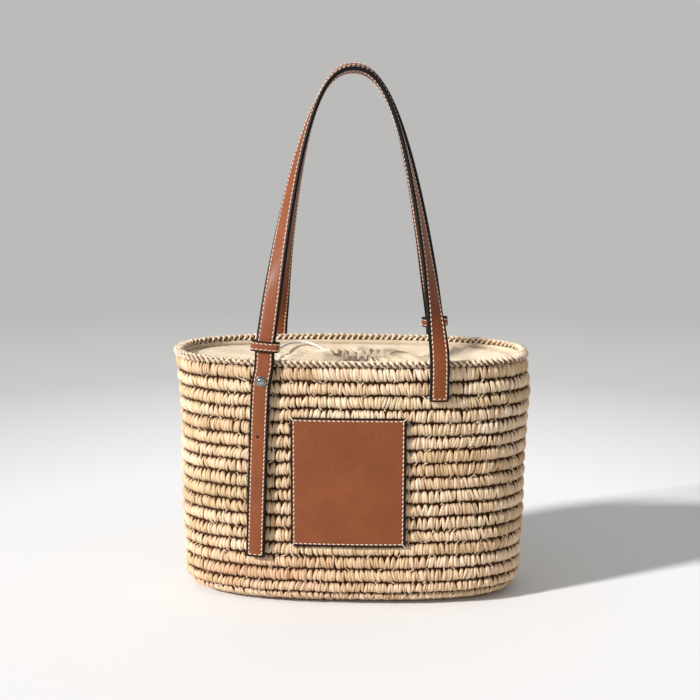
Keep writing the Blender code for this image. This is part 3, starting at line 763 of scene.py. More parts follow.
# %% The collar's shape
COTTON = 0.0014
COLLAR_DROP, COLLAR_SAG = 0.0030, 0.0050
MOUTH_HALF_WIDTH, MOUTH_HALF_DEPTH, MOUTH_SHIFT = 0.0270, 0.0150, 0.0070
COLLAR_COLUMNS = 480
GATHER_RISE = 0.0062
HEM_START, HEM_ROLL = -0.04, 0.0009
PLEATS = 23
COLLAR_SECTIONS = {
    "way_in": (-0.04, 0.00, 0.10, 0.30, 0.55, 0.80, 0.95, 1.00, 1.02, 1.04),
    "rise": (0.80, 0.00, 0.12, -0.45, -0.95, -0.25, 0.35, 0.20, -0.80, -2.20),
    "gathers": (0.00, 0.00, 0.00, 0.05, 0.30, 0.85, 1.00, 1.00, 0.90, 0.70),
}
COLLAR_FOLDS = {
    "x": (-0.050, -0.024, 0.003, 0.055, 0.048, 0.091, 0.104, 0.112, -0.100, -0.085, 0.062, -0.062),
    "y": (0.002, -0.011, 0.036, 0.018, -0.002, 0.043, 0.041, 0.008, 0.010, 0.030, -0.034, -0.036),
    "length": (0.026, 0.013, 0.020, 0.022, 0.024, 0.008, 0.010, 0.026, 0.030, 0.018, 0.023, 0.021),
    "width": (0.0060, 0.0048, 0.006, 0.007, 0.006, 0.0032, 0.0034, 0.009, 0.010, 0.007, 0.008, 0.007),
    "turn": (66.0, 82.0, 84.0, 80.0, 120.0, 96.0, 66.0, 100.0, -14.0, 80.0, 104.0, 60.0),
    "height": (0.0070, 0.0060, 0.0040, -0.0030, 0.0040, 0.0050, 0.0038, -0.0020, 0.0030, 0.0030, 0.0034,
               0.0030),
}


def fold_height(x, y):
    """Height of the loose folds at a point, as a sum of long soft humps."""
    total = np.zeros_like(x)
    for centre_x, centre_y, length, width, turn, height in zip(*COLLAR_FOLDS.values()):
        cosine, sine = math.cos(math.radians(turn)), math.sin(math.radians(turn))
        along = ((x - centre_x) * cosine + (y - centre_y) * sine) / length
        across = ((y - centre_y) * cosine - (x - centre_x) * sine) / width
        total += height * np.exp(-along ** 2 - np.abs(across) ** 1.6)
    return total


def pleat_wave(share):
    """Round pleats with sharp valleys, |sin|, whose widths and heights differ."""
    draw = np.random.default_rng(61)
    widths = np.cumsum(draw.uniform(0.6, 1.5, PLEATS))
    edges = np.concatenate([[0.0], widths / widths[-1]])
    phase = np.interp(share, edges, np.arange(PLEATS + 1))
    size = draw.uniform(0.55, 1.0, PLEATS)[np.minimum(phase.astype(int), PLEATS - 1)]
    return np.abs(np.sin(math.pi * phase)) * size


def modify(piece, name, kind, **settings):
    """Add a modifier and set it up."""
    made = piece.modifiers.new(name, kind)
    for label, value in settings.items():
        setattr(made, label, value)


def collar():
    """The cloth from its rolled hem over the seam (way 0) to the mouth (way 1) and down inside."""
    way = np.concatenate([np.linspace(HEM_START, 0.0, 7, endpoint=False),
                          np.linspace(0.0, 0.12, 8, endpoint=False),
                          np.linspace(0.12, 0.90, 26, endpoint=False),
                          np.linspace(0.90, 1.04, 14)])[:, None]
    share = (np.arange(COLLAR_COLUMNS) / COLLAR_COLUMNS)[None, :]
    seam, _ = wall_point(share, COLLAR_DROP, -STRAW_WALL - GAP)
    plan_x, plan_y = plan(share)
    mouth = np.stack([MOUTH_HALF_WIDTH * plan_x + MOUTH_SHIFT, MOUTH_HALF_DEPTH * plan_y], axis=-1)
    inward = np.clip(way, 0.0, 1.0)[..., None]
    level = seam[..., :2] * (1.0 - inward) + mouth * inward
    hem = np.sin(math.pi * np.clip(way / HEM_START, 0.0, 1.0)) ** 0.6
    level = level - (HEM_ROLL * hem)[..., None] * unit(seam[..., :2] - mouth)
    rise, gathers = (np.interp(way, COLLAR_SECTIONS["way_in"], COLLAR_SECTIONS[name])
                     for name in ("rise", "gathers"))
    pleat = pleat_wave(share)
    loose = 4.0 * inward[..., 0] * (1.0 - inward[..., 0])
    height = WALL_TOP - COLLAR_DROP + rise * COLLAR_SAG + loose * fold_height(level[..., 0], level[..., 1])
    height = height + gathers * GATHER_RISE * (pleat - 0.36)
    pucker = wander(share, (71, 96, 131, 158), 0.00022, 77)
    height = height + pucker * np.exp(-(way / 0.05) ** 2) * (way > 0.0)
    inside = np.clip((way - 1.0) / 0.04, 0.0, 1.0)[..., None]
    centre = np.array([MOUTH_SHIFT, 0.0])
    level = centre + (level - centre) * (1.0 - 0.10 * inside + 0.16 * inside * (pleat - 0.5)[..., None])
    points = np.concatenate([level, height[..., None]], axis=-1)
    piece = skin("collar_cloth", points, [cotton], "cotton", ("drawstring_collar",), (False, True),
                 flip=False)
    modify(piece, "cloth_thickness", "SOLIDIFY", thickness=COTTON, offset=-1.0)
    return piece


collar_cloth = collar()

# %% [markdown]
# ## The drawstring
# The cord is a soft cotton twist of three yarns, 2.5 mm thick. It leaves its casing beside the
# mouth, lies back over the collar and ends in a small knot. Its route is a smooth curve through
# listed points, the same ones that its solid follows, and its round section bulges three
# times and turns as it goes, which is what a three-yarn twist looks like.

# %% Cord and knot
CORD_DIAMETER = 0.0025
KNOT_DIAMETER = 0.0064
CORD_ROUTE = (
    (-20.0, 10.0, 212.2), (-25.5, 20.5, 211.2), (-30.5, 35.0, 210.6),
    (-37.0, 46.5, 211.2), (-45.0, 52.0, 212.4), (-53.5, 51.5, 212.6),
    (-60.5, 45.5, 212.0), (-65.0, 35.0, 211.2), (-68.0, 24.0, 211.0),
)
KNOT_TAIL = ((1.6, -5.0, 0.0), (4.8, -11.0, 0.0), (6.2, -18.0, 0.0), (4.6, -26.0, 0.0))
TAIL_YARNS, TAIL_YARN_RADIUS, TAIL_LIFT = 12, 0.00052, 0.0016
CORD_STATIONS, CORD_SIDES = 220, 18
YARN_TURNS, KNOT_SIDES = 26.0, 12


def smooth_route(knots, count):
    """Evenly spaced points on a Catmull-Rom curve through the knots."""
    ends = np.vstack([2.0 * knots[0] - knots[1], knots, 2.0 * knots[-1] - knots[-2]])
    before, start, end, after = (ends[k:len(ends) - 3 + k, None, :] for k in range(4))
    way = np.linspace(0.0, 1.0, 24, endpoint=False)[None, :, None]
    curve = 0.5 * (2.0 * start + (end - before) * way
                   + (2.0 * before - 5.0 * start + 4.0 * end - after) * way ** 2
                   + (3.0 * start - before - 3.0 * end + after) * way ** 3)
    return evenly(np.vstack([curve.reshape(-1, 3), knots[-1]]), count)


def drawstring():
    """The cord: a tube whose radius has three bulges that turn as it goes."""
    route = smooth_route(np.array(CORD_ROUTE) / 1000.0, CORD_STATIONS)
    heading = unit(np.gradient(route, axis=0))
    side = unit(np.cross(heading, UP))
    angle = np.arange(CORD_SIDES) * 2.0 * math.pi / CORD_SIDES
    turn = np.linspace(0.0, YARN_TURNS * 2.0 * math.pi, CORD_STATIONS)[:, None]
    radius = CORD_DIAMETER / 2.0 * (0.90 + 0.12 * np.abs(np.cos(1.5 * angle - 0.5 * turn)))
    rings = route[:, None] + radius[..., None] * spokes(side, np.cross(side, heading), CORD_SIDES)
    return skin("drawstring_cord", rings, [cotton_twist], "cotton", ("drawstring",),
                ends=route[[0, -1]]), route


def knot(route):
    """An overhand knot: the trefoil (sin t + 2 sin 2t, cos t - 2 cos 2t, -1.6 sin 3t)."""
    heading = unit(route[-1] - route[-2])
    centre = route[-1] + heading * (KNOT_DIAMETER * 0.45 + GAP)
    side = unit(np.cross(heading, UP))
    turn = np.linspace(0.0, 2.0 * math.pi, 121)[:-1]
    size = (KNOT_DIAMETER / 2.0 - CORD_DIAMETER * 0.40) / 3.0
    local = np.stack([np.sin(turn) + 2.0 * np.sin(2.0 * turn), np.cos(turn) - 2.0 * np.cos(2.0 * turn),
                      -1.6 * np.sin(3.0 * turn)], axis=1) * size
    line = centre + local @ np.stack([heading, side, np.cross(side, heading)])
    tangent = unit(np.roll(line, -1, axis=0) - np.roll(line, 1, axis=0))
    out = square_to(unit(line - centre), tangent)
    rings = line[:, None] + CORD_DIAMETER * 0.42 * spokes(np.cross(tangent, out), out, KNOT_SIDES)
    make_tail(centre)
    return skin("cord_knot", rings, [cotton_twist], "cotton", ("drawstring_knot",))


def lying(line, lift):
    """The same line where it lies on the collar: the nearest cloth point's height, plus a lift."""
    cloth = np.empty(3 * len(collar_cloth.data.vertices))
    collar_cloth.data.vertices.foreach_get("co", cloth)
    cloth = cloth.reshape(-1, 3)
    apart = np.linalg.norm(line[:, None, :2] - cloth[None, :, :2], axis=2)
    height = cloth[apart.argmin(axis=1), 2] + lift
    height = np.convolve(np.pad(height, 2, mode="edge"), np.full(5, 0.2), mode="valid")
    return np.column_stack([line[:, :2], height])


def make_tail(centre):
    """The short end past the knot: a bundle of loose yarns that fans out along its length."""
    line = smooth_route(np.vstack([centre, centre + np.array(KNOT_TAIL) / 1000.0]), 24)
    way = np.linspace(0.0, 1.0, len(line))
    line = lying(line, TAIL_LIFT)
    turn = np.arange(TAIL_YARNS) * 2.4
    ring = np.sqrt((np.arange(TAIL_YARNS) + 0.5) / TAIL_YARNS) * CORD_DIAMETER / 2.0
    fan = (0.50 + 1.1 * way ** 2)[None, :] * ring[:, None]
    side = np.array([0.95, 0.3, 0.0])
    offset = (fan * np.cos(turn)[:, None])[..., None] * side
    offset = offset + (fan * 0.4 * np.sin(turn)[:, None])[..., None] * UP
    fat = TAIL_YARN_RADIUS * np.sin(math.pi * np.clip(way, 0.04, 0.96)) ** 0.35 * np.ones((TAIL_YARNS, 1))
    reach = rng.uniform(0.80, 1.0, TAIL_YARNS)
    centres = np.stack([read_line(line, way, way * share) for share in reach]) + offset
    points = strand_points(centres, np.broadcast_to(side, centres.shape), fat, fat)
    return strand_mesh("cord_tail", points, cotton_twist, "cotton")


cord, cord_line = drawstring()
cord_knot = knot(cord_line)

# %% [markdown]
# ## Leather, edge paint, thread and chrome
# The straps are vegetable-tanned leather: fine pebbled grain, a soft wax shine and slow drifts of
# colour from rubbing. Its cut edges are sealed with dark paint. The thread is waxed linen, and
# the studs are polished chrome, whose look comes almost wholly from what it reflects.

# %% The leather finish and its company
def leather_finish():
    """Two sizes of grain for the bump, and colour that drifts between three browns."""
    made = Finish("leather_tan", Specular_IOR_Level=0.38, Coat_Roughness=0.28, Coat_Weight=0.14)
    grain = made.node("ShaderNodeTexVoronoi", {"feature": "DISTANCE_TO_EDGE"},
                      {"Vector": made.place(), "Scale": 1500.0})
    fine = made.noise(made.place(), 2600.0, 3.0)
    drift = made.noise(made.place(), 38.0, 4.0, 0.6)
    scuff = made.noise(made.place((1.0, 1.0, 0.7)), 620.0, 5.0, 0.75)
    colour = made.ramp(drift * 0.45 + scuff * 0.55, (0.30, 116, 54, 12), (0.50, 130, 63, 15),
                       (0.70, 146, 75, 21))
    pits = (1.0 - grain.above(0.0, 0.12)) * 0.25
    pebbles = grain.above(0.0, 0.25) * 0.6 + fine * 0.4 + scuff * 0.6
    return made.surface(Base_Color=made.mix(pits, colour, paint(84, 38, 16)),
                        Roughness=0.36 + scuff * 0.20, Normal=made.bump(pebbles, 0.00018))


leather = leather_finish()
dark_edge = plain_finish("edge_paint", 700.0, (6, 5, 5), (18, 13, 11), 0.00015, (0.42, 0.2),
                         Specular_IOR_Level=0.20)
thread = plain_finish("linen_thread", 2200.0, (206, 184, 160), (240, 226, 208), 0.0002, (0.6, 0.0),
                      detail=2.0, Specular_IOR_Level=0.3)
chrome = plain_finish("chrome_polished", 500.0, (154, 152, 149), (184, 182, 179), 0.0, (0.06, 0.08),
                      Metallic=1.0)

# %% [markdown]
# ## The straps' centre line
# Each strap is one long piece of leather: a tail down the front, an arch over the bag and a tab
# on the other side. Its line is worked out just as for the solid: points on the wall, an arch
# z = h (1 - |x / spread|^n), rounded corners, and a slow twist that turns the face to the sky.

# %% Strap line
STRAP_WIDTH, STRAP_THICKNESS = 0.0168, 0.0040
STRAP_SPREAD, STRAP_SHIFT = 0.0730, 0.0016
ARCH_HEIGHT, BACK_ARCH_RISE, ARCH_FULLNESS, ARCH_FOOT_RISE = 0.2310, 0.0035, 2.45, 0.0085
TAIL_LENGTH, TAIL_SPLAY, TAIL_CURVE, TAIL_STANDOFF = 0.1670, 0.0088, 0.62, 0.0022
TAB_LENGTH, BEND_LENGTH = 0.0280, 0.0160
STUD_DROP, STUD_BASE_THICKNESS = 0.0110, 0.0010
SPARE_HOLE_DROP, SPARE_HOLE_RADIUS, PUNCH_SIDES = 0.0594, 0.0013, 28
ARCH_TWIST = {
    "way": (0.0, 0.03, 0.14, 0.23, 0.35, 0.44, 0.50, 0.56, 0.66, 0.79, 0.86, 0.92, 0.97, 1.0),
    "turn": (0.0, 0.0, 30.0, 48.0, 68.0, 80.0, 86.0, 90.0, 84.0, 68.0, 58.0, 42.0, 18.0, 0.0),
}
HALF_TURN = np.array([-1.0, -1.0, 1.0])


def front_wall(x, height, back=False):
    """y of the straw's crests at x on the bag's front, and the wall's outward normal there.

    For the back it answers for the bag turned half round, whose lean has the other sign.
    """
    half_width, half_depth, lean = wall_size(height)
    across = (x + lean if back else x - lean) / half_width
    reach = (1.0 - np.abs(across) ** PLAN_ROUNDNESS) ** (1.0 / PLAN_ROUNDNESS)
    return -half_depth * reach, level_normal(across, -reach, half_width, half_depth)


def seat(x, height, standoff, back):
    """A strap's centre in front of the straw's crests, with its flat back at the standoff."""
    x, height, standoff = np.broadcast_arrays(x, height, standoff)
    y, normal = front_wall(x, height, back)
    out = (standoff + STRAP_THICKNESS / 2.0)[..., None]
    return np.stack([x, y, height], axis=-1) + normal * out, normal


def rounded(points, length):
    """Ease a line's corners: each point becomes the mean of the line near it."""
    travel = travel_along(points)
    room = np.minimum(length, 2.0 * np.minimum(travel, travel[-1] - travel))
    moved = [read_line(points, travel, travel + shift * room) for shift in np.linspace(-0.5, 0.5, 9)]
    return (points + np.sum(moved, axis=0)) / 10.0


def strap_line(back):
    """Centre, tangent, face normal and width direction along a strap, from tail to tab."""
    arch_height = ARCH_HEIGHT + (BACK_ARCH_RISE if back else 0.0)
    sideways = -STRAP_SHIFT if back else STRAP_SHIFT
    foot_height = WALL_TOP + GAP + BRAID_HEIGHT + ARCH_FOOT_RISE
    over_braid = (BRAID_WIDTH - STRAW_WALL) / 2.0 + GAP
    left_x, right_x = sideways - STRAP_SPREAD, sideways + STRAP_SPREAD
    left_top, left_normal = seat(left_x, WALL_TOP, over_braid, back)
    right_top, right_normal = seat(right_x, WALL_TOP, over_braid, back)
    foot_y = min(left_top[1], right_top[1])

    middle_y = -(math.hypot(STRAP_WIDTH, STRAP_THICKNESS) + GAP) / 2.0
    tilt = math.atan2(middle_y - foot_y, arch_height)
    across = np.sin(np.linspace(-1.0, 1.0, 161) * math.pi / 2.0)
    rise = 1.0 - np.abs(across) ** ARCH_FULLNESS
    arch = np.column_stack([STRAP_SPREAD * across + sideways * (1.0 - rise),
                            foot_y + (middle_y - foot_y) * rise, foot_height + arch_height * rise])

    height = np.linspace(WALL_TOP - TAIL_LENGTH, WALL_TOP - STUD_DROP, 12)
    way = (height - WALL_TOP + TAIL_LENGTH) / (TAIL_LENGTH - STUD_DROP)
    standoff = TAIL_STANDOFF * (1.0 - way) + (STUD_BASE_THICKNESS + 2.0 * GAP) * way
    down = (foot_height - height) / (foot_height - WALL_TOP + TAIL_LENGTH)
    tail, _ = seat(left_x - TAIL_SPLAY * down ** TAIL_CURVE, height, standoff, back)
    tail_top = np.array([left_x, min(left_top[1], tail[-1][1]), WALL_TOP])
    tab_end, _ = seat(right_x, WALL_TOP - TAB_LENGTH, GAP, back)
    left = evenly(np.vstack([tail, tail_top]), 60)
    right = evenly(np.array([right_top, tab_end]), 20)
    centre = evenly(rounded(evenly(np.vstack([left, arch, right]), 500), BEND_LENGTH), 500)

    travel = travel_along(centre)
    tangent = unit(np.gradient(centre, travel, axis=0))
    climb = np.clip((centre[:, 2] - WALL_TOP) / (4.0 * BEND_LENGTH), 0.0, 1.0)[:, None]
    side = np.where(centre[:, :1] < 0.0, left_normal, right_normal)
    facing = side * (1.0 - climb) + np.array([0.0, -math.cos(tilt), math.sin(tilt)]) * climb
    facing = square_to(facing, tangent)
    above = np.flatnonzero(centre[:, 2] > foot_height)
    first, last = travel[above[0]], travel[above[-1]]
    turn = np.radians(np.interp((travel - first) / (last - first), *ARCH_TWIST.values()))
    shifts = np.linspace(-0.5, 0.5, 9) * BEND_LENGTH
    twist = np.mean([np.interp(travel + shift, travel, turn) for shift in shifts], axis=0)[:, None]
    normal = np.cos(twist) * facing + np.sin(twist) * np.cross(facing, tangent)
    line = {"centre": centre, "tangent": tangent, "normal": normal, "width": np.cross(tangent, normal)}
    if back:
        line = {name: values * HALF_TURN for name, values in line.items()}
    return {**line, "travel": travel}


def at_distance(line, stops):
    """The strap's centre and its three directions at distances along it."""
    read = {name: read_line(line[name], line["travel"], stops)
            for name in ("centre", "tangent", "normal", "width")}
    return {name: value if name == "centre" else unit(value) for name, value in read.items()}


def at_height(line, height):
    """The same, where the tail's side of the strap passes a height."""
    rising = slice(0, int(np.argmax(line["centre"][:, 2])))
    return at_distance(line, np.interp(height, line["centre"][rising, 2], line["travel"][rising]))


strap_lines = {"front": strap_line(False), "back": strap_line(True)}
print("strap length in mm:", {side: round(line["travel"][-1] * 1000) for side, line in strap_lines.items()})

# %% [markdown]
# ## The straps' skin
# Two layers of leather are glued and sewn, and their edges are rounded and painted. The section
# has slightly domed faces, a shallow channel for each line of stitches, and a fine groove in the
# edge where the layers meet. It is carried along the line as one closed skin.

# %% Strap skin
STRAP_STATIONS = 620
EDGE_ROUND = 0.0020
END_PAINT = 0.0018
PAINT_START = 0.0064
STITCH_LINE = 0.0055
CHANNEL_DEPTH, CHANNEL_WIDTH = 0.00030, 0.00055
END_STOPS = (0.0, 0.12, 0.35, 0.7, 1.1, 1.6, 2.2)
FACE_STOPS = (-6.4, -6.1, -5.8, -5.5, -5.2, -4.8, -4.0, -2.2, 0.0, 2.2, 4.0, 4.8, 5.2, 5.5, 5.8, 6.1, 6.4)
EDGE_ANGLES = (18.0, 42.0, 66.0, 84.0, 90.0, 96.0, 114.0, 138.0, 162.0)
MAP_STRIPS = 6


def strap_section():
    """Across and out round the strap: front face, right edge, back face, left edge."""
    across = np.array(FACE_STOPS) / 1000.0
    dome = STRAP_THICKNESS / 2.0 * (1.0 - 0.10 * (across / PAINT_START) ** 2)
    channel = CHANNEL_DEPTH * np.exp(-((np.abs(across) - STITCH_LINE) / CHANNEL_WIDTH) ** 2)
    out = dome - channel
    angle = np.radians(EDGE_ANGLES)
    reach = STRAP_WIDTH / 2.0 - PAINT_START
    seam = 1.0 - 0.10 * np.exp(-((angle - math.pi / 2.0) / 0.10) ** 2)
    edge_across = PAINT_START + reach * np.sin(angle) * seam
    edge_out = 0.90 * STRAP_THICKNESS / 2.0 * np.cos(angle)
    return (np.concatenate([across, edge_across, -across, -edge_across]),
            np.concatenate([out, edge_out, -out, -edge_out]))


def strap_skin(side):
    """Carry the section along the strap, shrunk to a rounded end at both its ends."""
    line = strap_lines[side]
    length = line["travel"][-1]
    near = np.array(END_STOPS) / 1000.0
    stops = np.concatenate([near, np.linspace(0.003, length - 0.003, STRAP_STATIONS), length - near[::-1]])
    read = at_distance(line, stops)
    from_end = np.minimum(stops, length - stops)
    roundness = np.sqrt(1.0 - np.clip(1.0 - from_end / EDGE_ROUND, 0.0, 1.0) ** 2)[:, None]
    across, out = strap_section()
    across = across * (1.0 - EDGE_ROUND * (1.0 - roundness) / (STRAP_WIDTH / 2.0))
    points = (read["centre"][:, None] + across[..., None] * read["width"][:, None]
              + (out * roundness.clip(0.10))[..., None] * read["normal"][:, None])
    rows, columns = across.shape
    (faces, caps), _ = tube_faces(rows, columns)
    _, flat = grid(rows, columns, closed_columns=True)
    per_strip = math.ceil((rows - 1) / MAP_STRIPS)
    strip = flat[:, :1, 1] // per_strip
    maps = np.stack([(flat[..., 0] / columns + strip) / MAP_STRIPS,
                     (flat[..., 1] - strip * per_strip) / per_strip], axis=-1)
    column, row = flat[:, 0].T.astype(int)
    painted = (column % (columns // 2) >= len(FACE_STOPS) - 1) | (from_end[row] < END_PAINT)
    return make_piece(f"{side}_strap_leather", np.vstack([points.reshape(-1, 3), read["centre"][[0, -1]]]),
                      [faces, caps], [maps, np.full((len(caps), 3, 2), 0.999)], [leather, dark_edge],
                      "leather", (f"{side}_strap",), np.append(painted, np.full(len(caps), True)),
                      flip=False)


def spare_hole(piece):
    """Cut the spare hole through the tail with a round punch that isn't rendered."""
    at = at_height(strap_lines["front"], WALL_TOP - SPARE_HOLE_DROP)
    ring = SPARE_HOLE_RADIUS * spokes(at["width"], at["tangent"], PUNCH_SIDES)
    depth = STRAP_THICKNESS * at["normal"]
    points = at["centre"] + np.vstack([ring - depth, ring + depth])
    near = np.arange(PUNCH_SIDES)
    after, far = (near + 1) % PUNCH_SIDES, near + PUNCH_SIDES
    around = np.stack([near, after, after + PUNCH_SIDES, far], axis=1).tolist()
    mesh = bpy.data.meshes.new("punch")
    mesh.from_pydata(points.tolist(), [], [*around, near[::-1].tolist(), far.tolist()])
    mesh.materials.append(dark_edge)
    punch = add_object("punch", mesh)
    punch.hide_render = True
    modify(piece, "spare_hole", "BOOLEAN", operation="DIFFERENCE", solver="EXACT",
           material_mode="TRANSFER", object=punch)


for side in strap_lines:
    strap = strap_skin(side)
    if side == "front":
        spare_hole(strap)

# %% [markdown]
# ## Stitches
# Saddle stitches lie slanted in their channel, each thread end diving into an awl hole. They
# are the same tapered strands as the raffia legs, only smaller, so one function turns places
# and directions into a whole line of them.

# %% Saddle stitches
SADDLE_PITCH = 0.0038
THREAD_RADIUS = 0.00046
STITCH_WAY = (0.00, 0.10, 0.32, 0.68, 0.90, 1.00)
STITCH_DIVE = 0.0011
STITCH_SLANT = 0.00030
END_STITCH, FIRST_STITCH = 0.0030, 0.0042


def saddle(centre, heading, side, out, length):
    """Stitches at places: along their heading, slanted to one side, ends diving inwards."""
    way = np.array(STITCH_WAY)[None, :, None]
    line = (centre[:, None] + (way - 0.5) * length * heading[:, None]
            + (way - 0.5) * 2.0 * STITCH_SLANT * side[:, None]
            + (THREAD_RADIUS * 0.55 - STITCH_DIVE * np.abs(2.0 * way - 1.0) ** 5) * out[:, None])
    fat = THREAD_RADIUS * np.array(STITCH_FAT)[None, :] * np.ones((len(centre), 1))
    return strand_points(line, np.broadcast_to(side[:, None], line.shape), fat, fat)


def strap_stitches(side):
    """Both lines of stitches on both faces, and one across each end."""
    line = strap_lines[side]
    length = line["travel"][-1]
    read = at_distance(line, np.arange(FIRST_STITCH, length - 0.0040, SADDLE_PITCH))
    surface = STRAP_THICKNESS / 2.0 * (1.0 - 0.10 * (STITCH_LINE / PAINT_START) ** 2) - CHANNEL_DEPTH
    spots = np.linspace(-FIRST_STITCH, FIRST_STITCH, 3)[:, None]
    made = []
    for face in (1.0, -1.0):
        for edge in (1.0, -1.0):
            centre = read["centre"] + edge * STITCH_LINE * read["width"] + face * surface * read["normal"]
            made.append(saddle(centre, read["tangent"], read["width"] * edge, read["normal"] * face,
                               SADDLE_PITCH * 0.80))
        for stop in (END_STITCH, length - END_STITCH):
            end = at_distance(line, np.full(3, stop))
            centre = end["centre"] + spots * end["width"] + face * surface * end["normal"]
            made.append(saddle(centre, end["width"], end["tangent"], end["normal"] * face,
                               SADDLE_PITCH * 0.85))
    return np.concatenate(made)


# %% [markdown]
# ## Keepers
# A keeper is a narrow band of the same leather, closed into a loop round the strap. It holds
# the tail flat above the rim. It is a rounded rectangle carried round a squarish loop, with
# painted edges and a line of stitches near each.

# %% Keeper loops
KEEPER_BAND, KEEPER_LEATHER = 0.0090, 0.0018
KEEPER_PLAY, KEEPER_CLEARANCE, KEEPER_RISE = 0.0020, 0.0006, 0.0120
KEEPER_SAG = 0.0009
KEEPER_STATIONS = 120
KEEPER_SECTION = {
    "out": (0.00, 0.00, 0.00, 0.12, 0.38, 0.62, 0.88, 1.00, 0.92, 0.90, 0.98, 1.00, 0.98, 0.90, 0.92,
            1.00, 0.88, 0.62, 0.38, 0.12),
    "up": (0.86, 0.00, -0.86, -0.95, -1.00, -1.00, -0.92, -0.72, -0.65, -0.54, -0.42, 0.00, 0.42, 0.54,
           0.65, 0.72, 0.92, 1.00, 1.00, 0.95),
}
KEEPER_SQUARENESS = 2.0 / 3.0
KEEPER_PAINTED = (2, 3, 4, 5, 6, 15, 16, 17, 18, 19)
KEEPER_STITCH_OUT, KEEPER_STITCH_UP = 0.90, 0.54


def keeper_ring(at, out, up):
    """Points round the strap at one place of the band's section."""
    across, deep = squarish(721, KEEPER_SQUARENESS)
    half_width = STRAP_WIDTH / 2.0 + KEEPER_PLAY + out * KEEPER_LEATHER
    half_depth = STRAP_THICKNESS / 2.0 + KEEPER_CLEARANCE + out * KEEPER_LEATHER
    loop = (at["centre"] + np.outer(half_width * across, at["width"])
            + np.outer(half_depth * deep, at["normal"])
            - np.outer(KEEPER_SAG * deep.clip(0.0), at["tangent"]))
    return evenly(loop, KEEPER_STATIONS + 1)[:-1] + up * KEEPER_BAND / 2.0 * at["tangent"]


def keeper(side):
    """The loop, and its two lines of stitches."""
    at = at_height(strap_lines[side], WALL_TOP + GAP + BRAID_HEIGHT + KEEPER_RISE)
    rings = np.stack([keeper_ring(at, out, up) for out, up in zip(*KEEPER_SECTION.values())], axis=1)
    column = np.tile(np.arange(rings.shape[1]), KEEPER_STATIONS)
    skin(f"{side}_keeper_leather", rings, [leather, dark_edge], "leather", (f"{side}_keeper",),
         painted=np.isin(column, KEEPER_PAINTED), flip=False, first=1)
    made = []
    for up in (-KEEPER_STITCH_UP, KEEPER_STITCH_UP):
        loop = keeper_ring(at, KEEPER_STITCH_OUT, up)
        loop = evenly(np.vstack([loop, loop[:1]]), 2 * round(travel_along(loop)[-1] / SADDLE_PITCH) + 1)
        centre, heading = loop[1:-1:2], unit(loop[2::2] - loop[:-2:2])
        along = np.broadcast_to(at["tangent"], heading.shape)
        made.append(saddle(centre, heading, along * np.sign(up), np.cross(along, heading) * -1.0,
                           SADDLE_PITCH * 0.72))
    return np.concatenate(made)


for side in strap_lines:
    stitches = np.concatenate([strap_stitches(side), keeper(side)])
    strand_mesh(f"{side}_strap_thread", stitches, thread, "cotton")

# %% [markdown]
# ## Studs
# Each tail is closed by a domed chrome stud: a base disc behind the leather, a neck through the
# hole and a polished head in front. It is turned on a lathe, so it is a profile spun round the
# strap's own normal.

# %% Turned studs
STUD_HEAD_RADIUS, STUD_HEAD_HEIGHT = 0.0048, 0.0034
STUD_NECK_RADIUS, STUD_BASE_RADIUS = 0.0017, 0.0045
STUD_SIDES = 40


def stud(side):
    """Radius and distance along the axis, spun round: disc, neck, foot ring and dome."""
    at = at_height(strap_lines[side], WALL_TOP - STUD_DROP)
    behind, front = -STRAP_THICKNESS / 2.0 - GAP, STRAP_THICKNESS / 2.0
    base, neck, head = STUD_BASE_RADIUS, STUD_NECK_RADIUS, STUD_HEAD_RADIUS
    angle = np.radians(np.linspace(0.0, 84.0, 10))
    radius = np.concatenate([[0.0003, 0.85 * base, base, base, neck, neck, 0.97 * head, head,
                              0.97 * head, 0.86 * head, 0.80 * head], head * 0.76 * np.cos(angle)])
    out = np.concatenate([[behind - STUD_BASE_THICKNESS, behind - STUD_BASE_THICKNESS,
                           behind - 0.7 * STUD_BASE_THICKNESS, behind, behind, front, front,
                           front + 0.0004, front + 0.0009, front + 0.0009, front + 0.0003],
                          front + STUD_HEAD_HEIGHT * (0.16 + 0.84 * np.sin(angle))])
    spoke = spokes(at["width"], at["tangent"], STUD_SIDES)
    rings = at["centre"] + out[:, None, None] * at["normal"] + radius[:, None, None] * spoke
    ends = at["centre"] + np.outer([out[0], out[-1] + 0.00001], at["normal"])
    skin(f"{side}_stud_chrome", rings, [chrome], "chrome", (f"{side}_stud",), ends=ends,
         flip=False, first=1)


for side in strap_lines:
    stud(side)

# %% [markdown]
# ## The front patch
# A square of the same leather is sewn to the front, bent to the basket's curve. It is plain. Its
# grid is close where the stitches and the edge need it and wide in the middle, a Solidify gives
# the leather's thickness with painted sides, and a small Bevel rounds them.

# %% Patch
PATCH_WIDTH, PATCH_HEIGHT, PATCH_LEATHER = 0.0980, 0.1140, 0.0022
PATCH_DROP, PATCH_SHIFT = 0.0420, -0.0010
PATCH_STITCH, PATCH_TACK, PATCH_PAINT = 0.0027, 0.0066, 0.0018
PATCH_STITCH_PITCH, PATCH_STITCH_LENGTH = 0.0040, 0.0031
PATCH_FINE, PATCH_STEP = 0.0041, 0.0004


def close_at_edges(size, middle):
    """Stops across a sheet: fine near both ends and coarser between."""
    fine = np.arange(0.0, PATCH_FINE, PATCH_STEP)
    between = np.linspace(PATCH_FINE, size - PATCH_FINE, middle)[1:-1]
    return np.concatenate([fine, between, size - fine[::-1]])


def from_edge(x, drop):
    """The distance to the patch's nearest edge."""
    return np.minimum(np.minimum(x, PATCH_WIDTH - x), np.minimum(drop, PATCH_HEIGHT - drop))


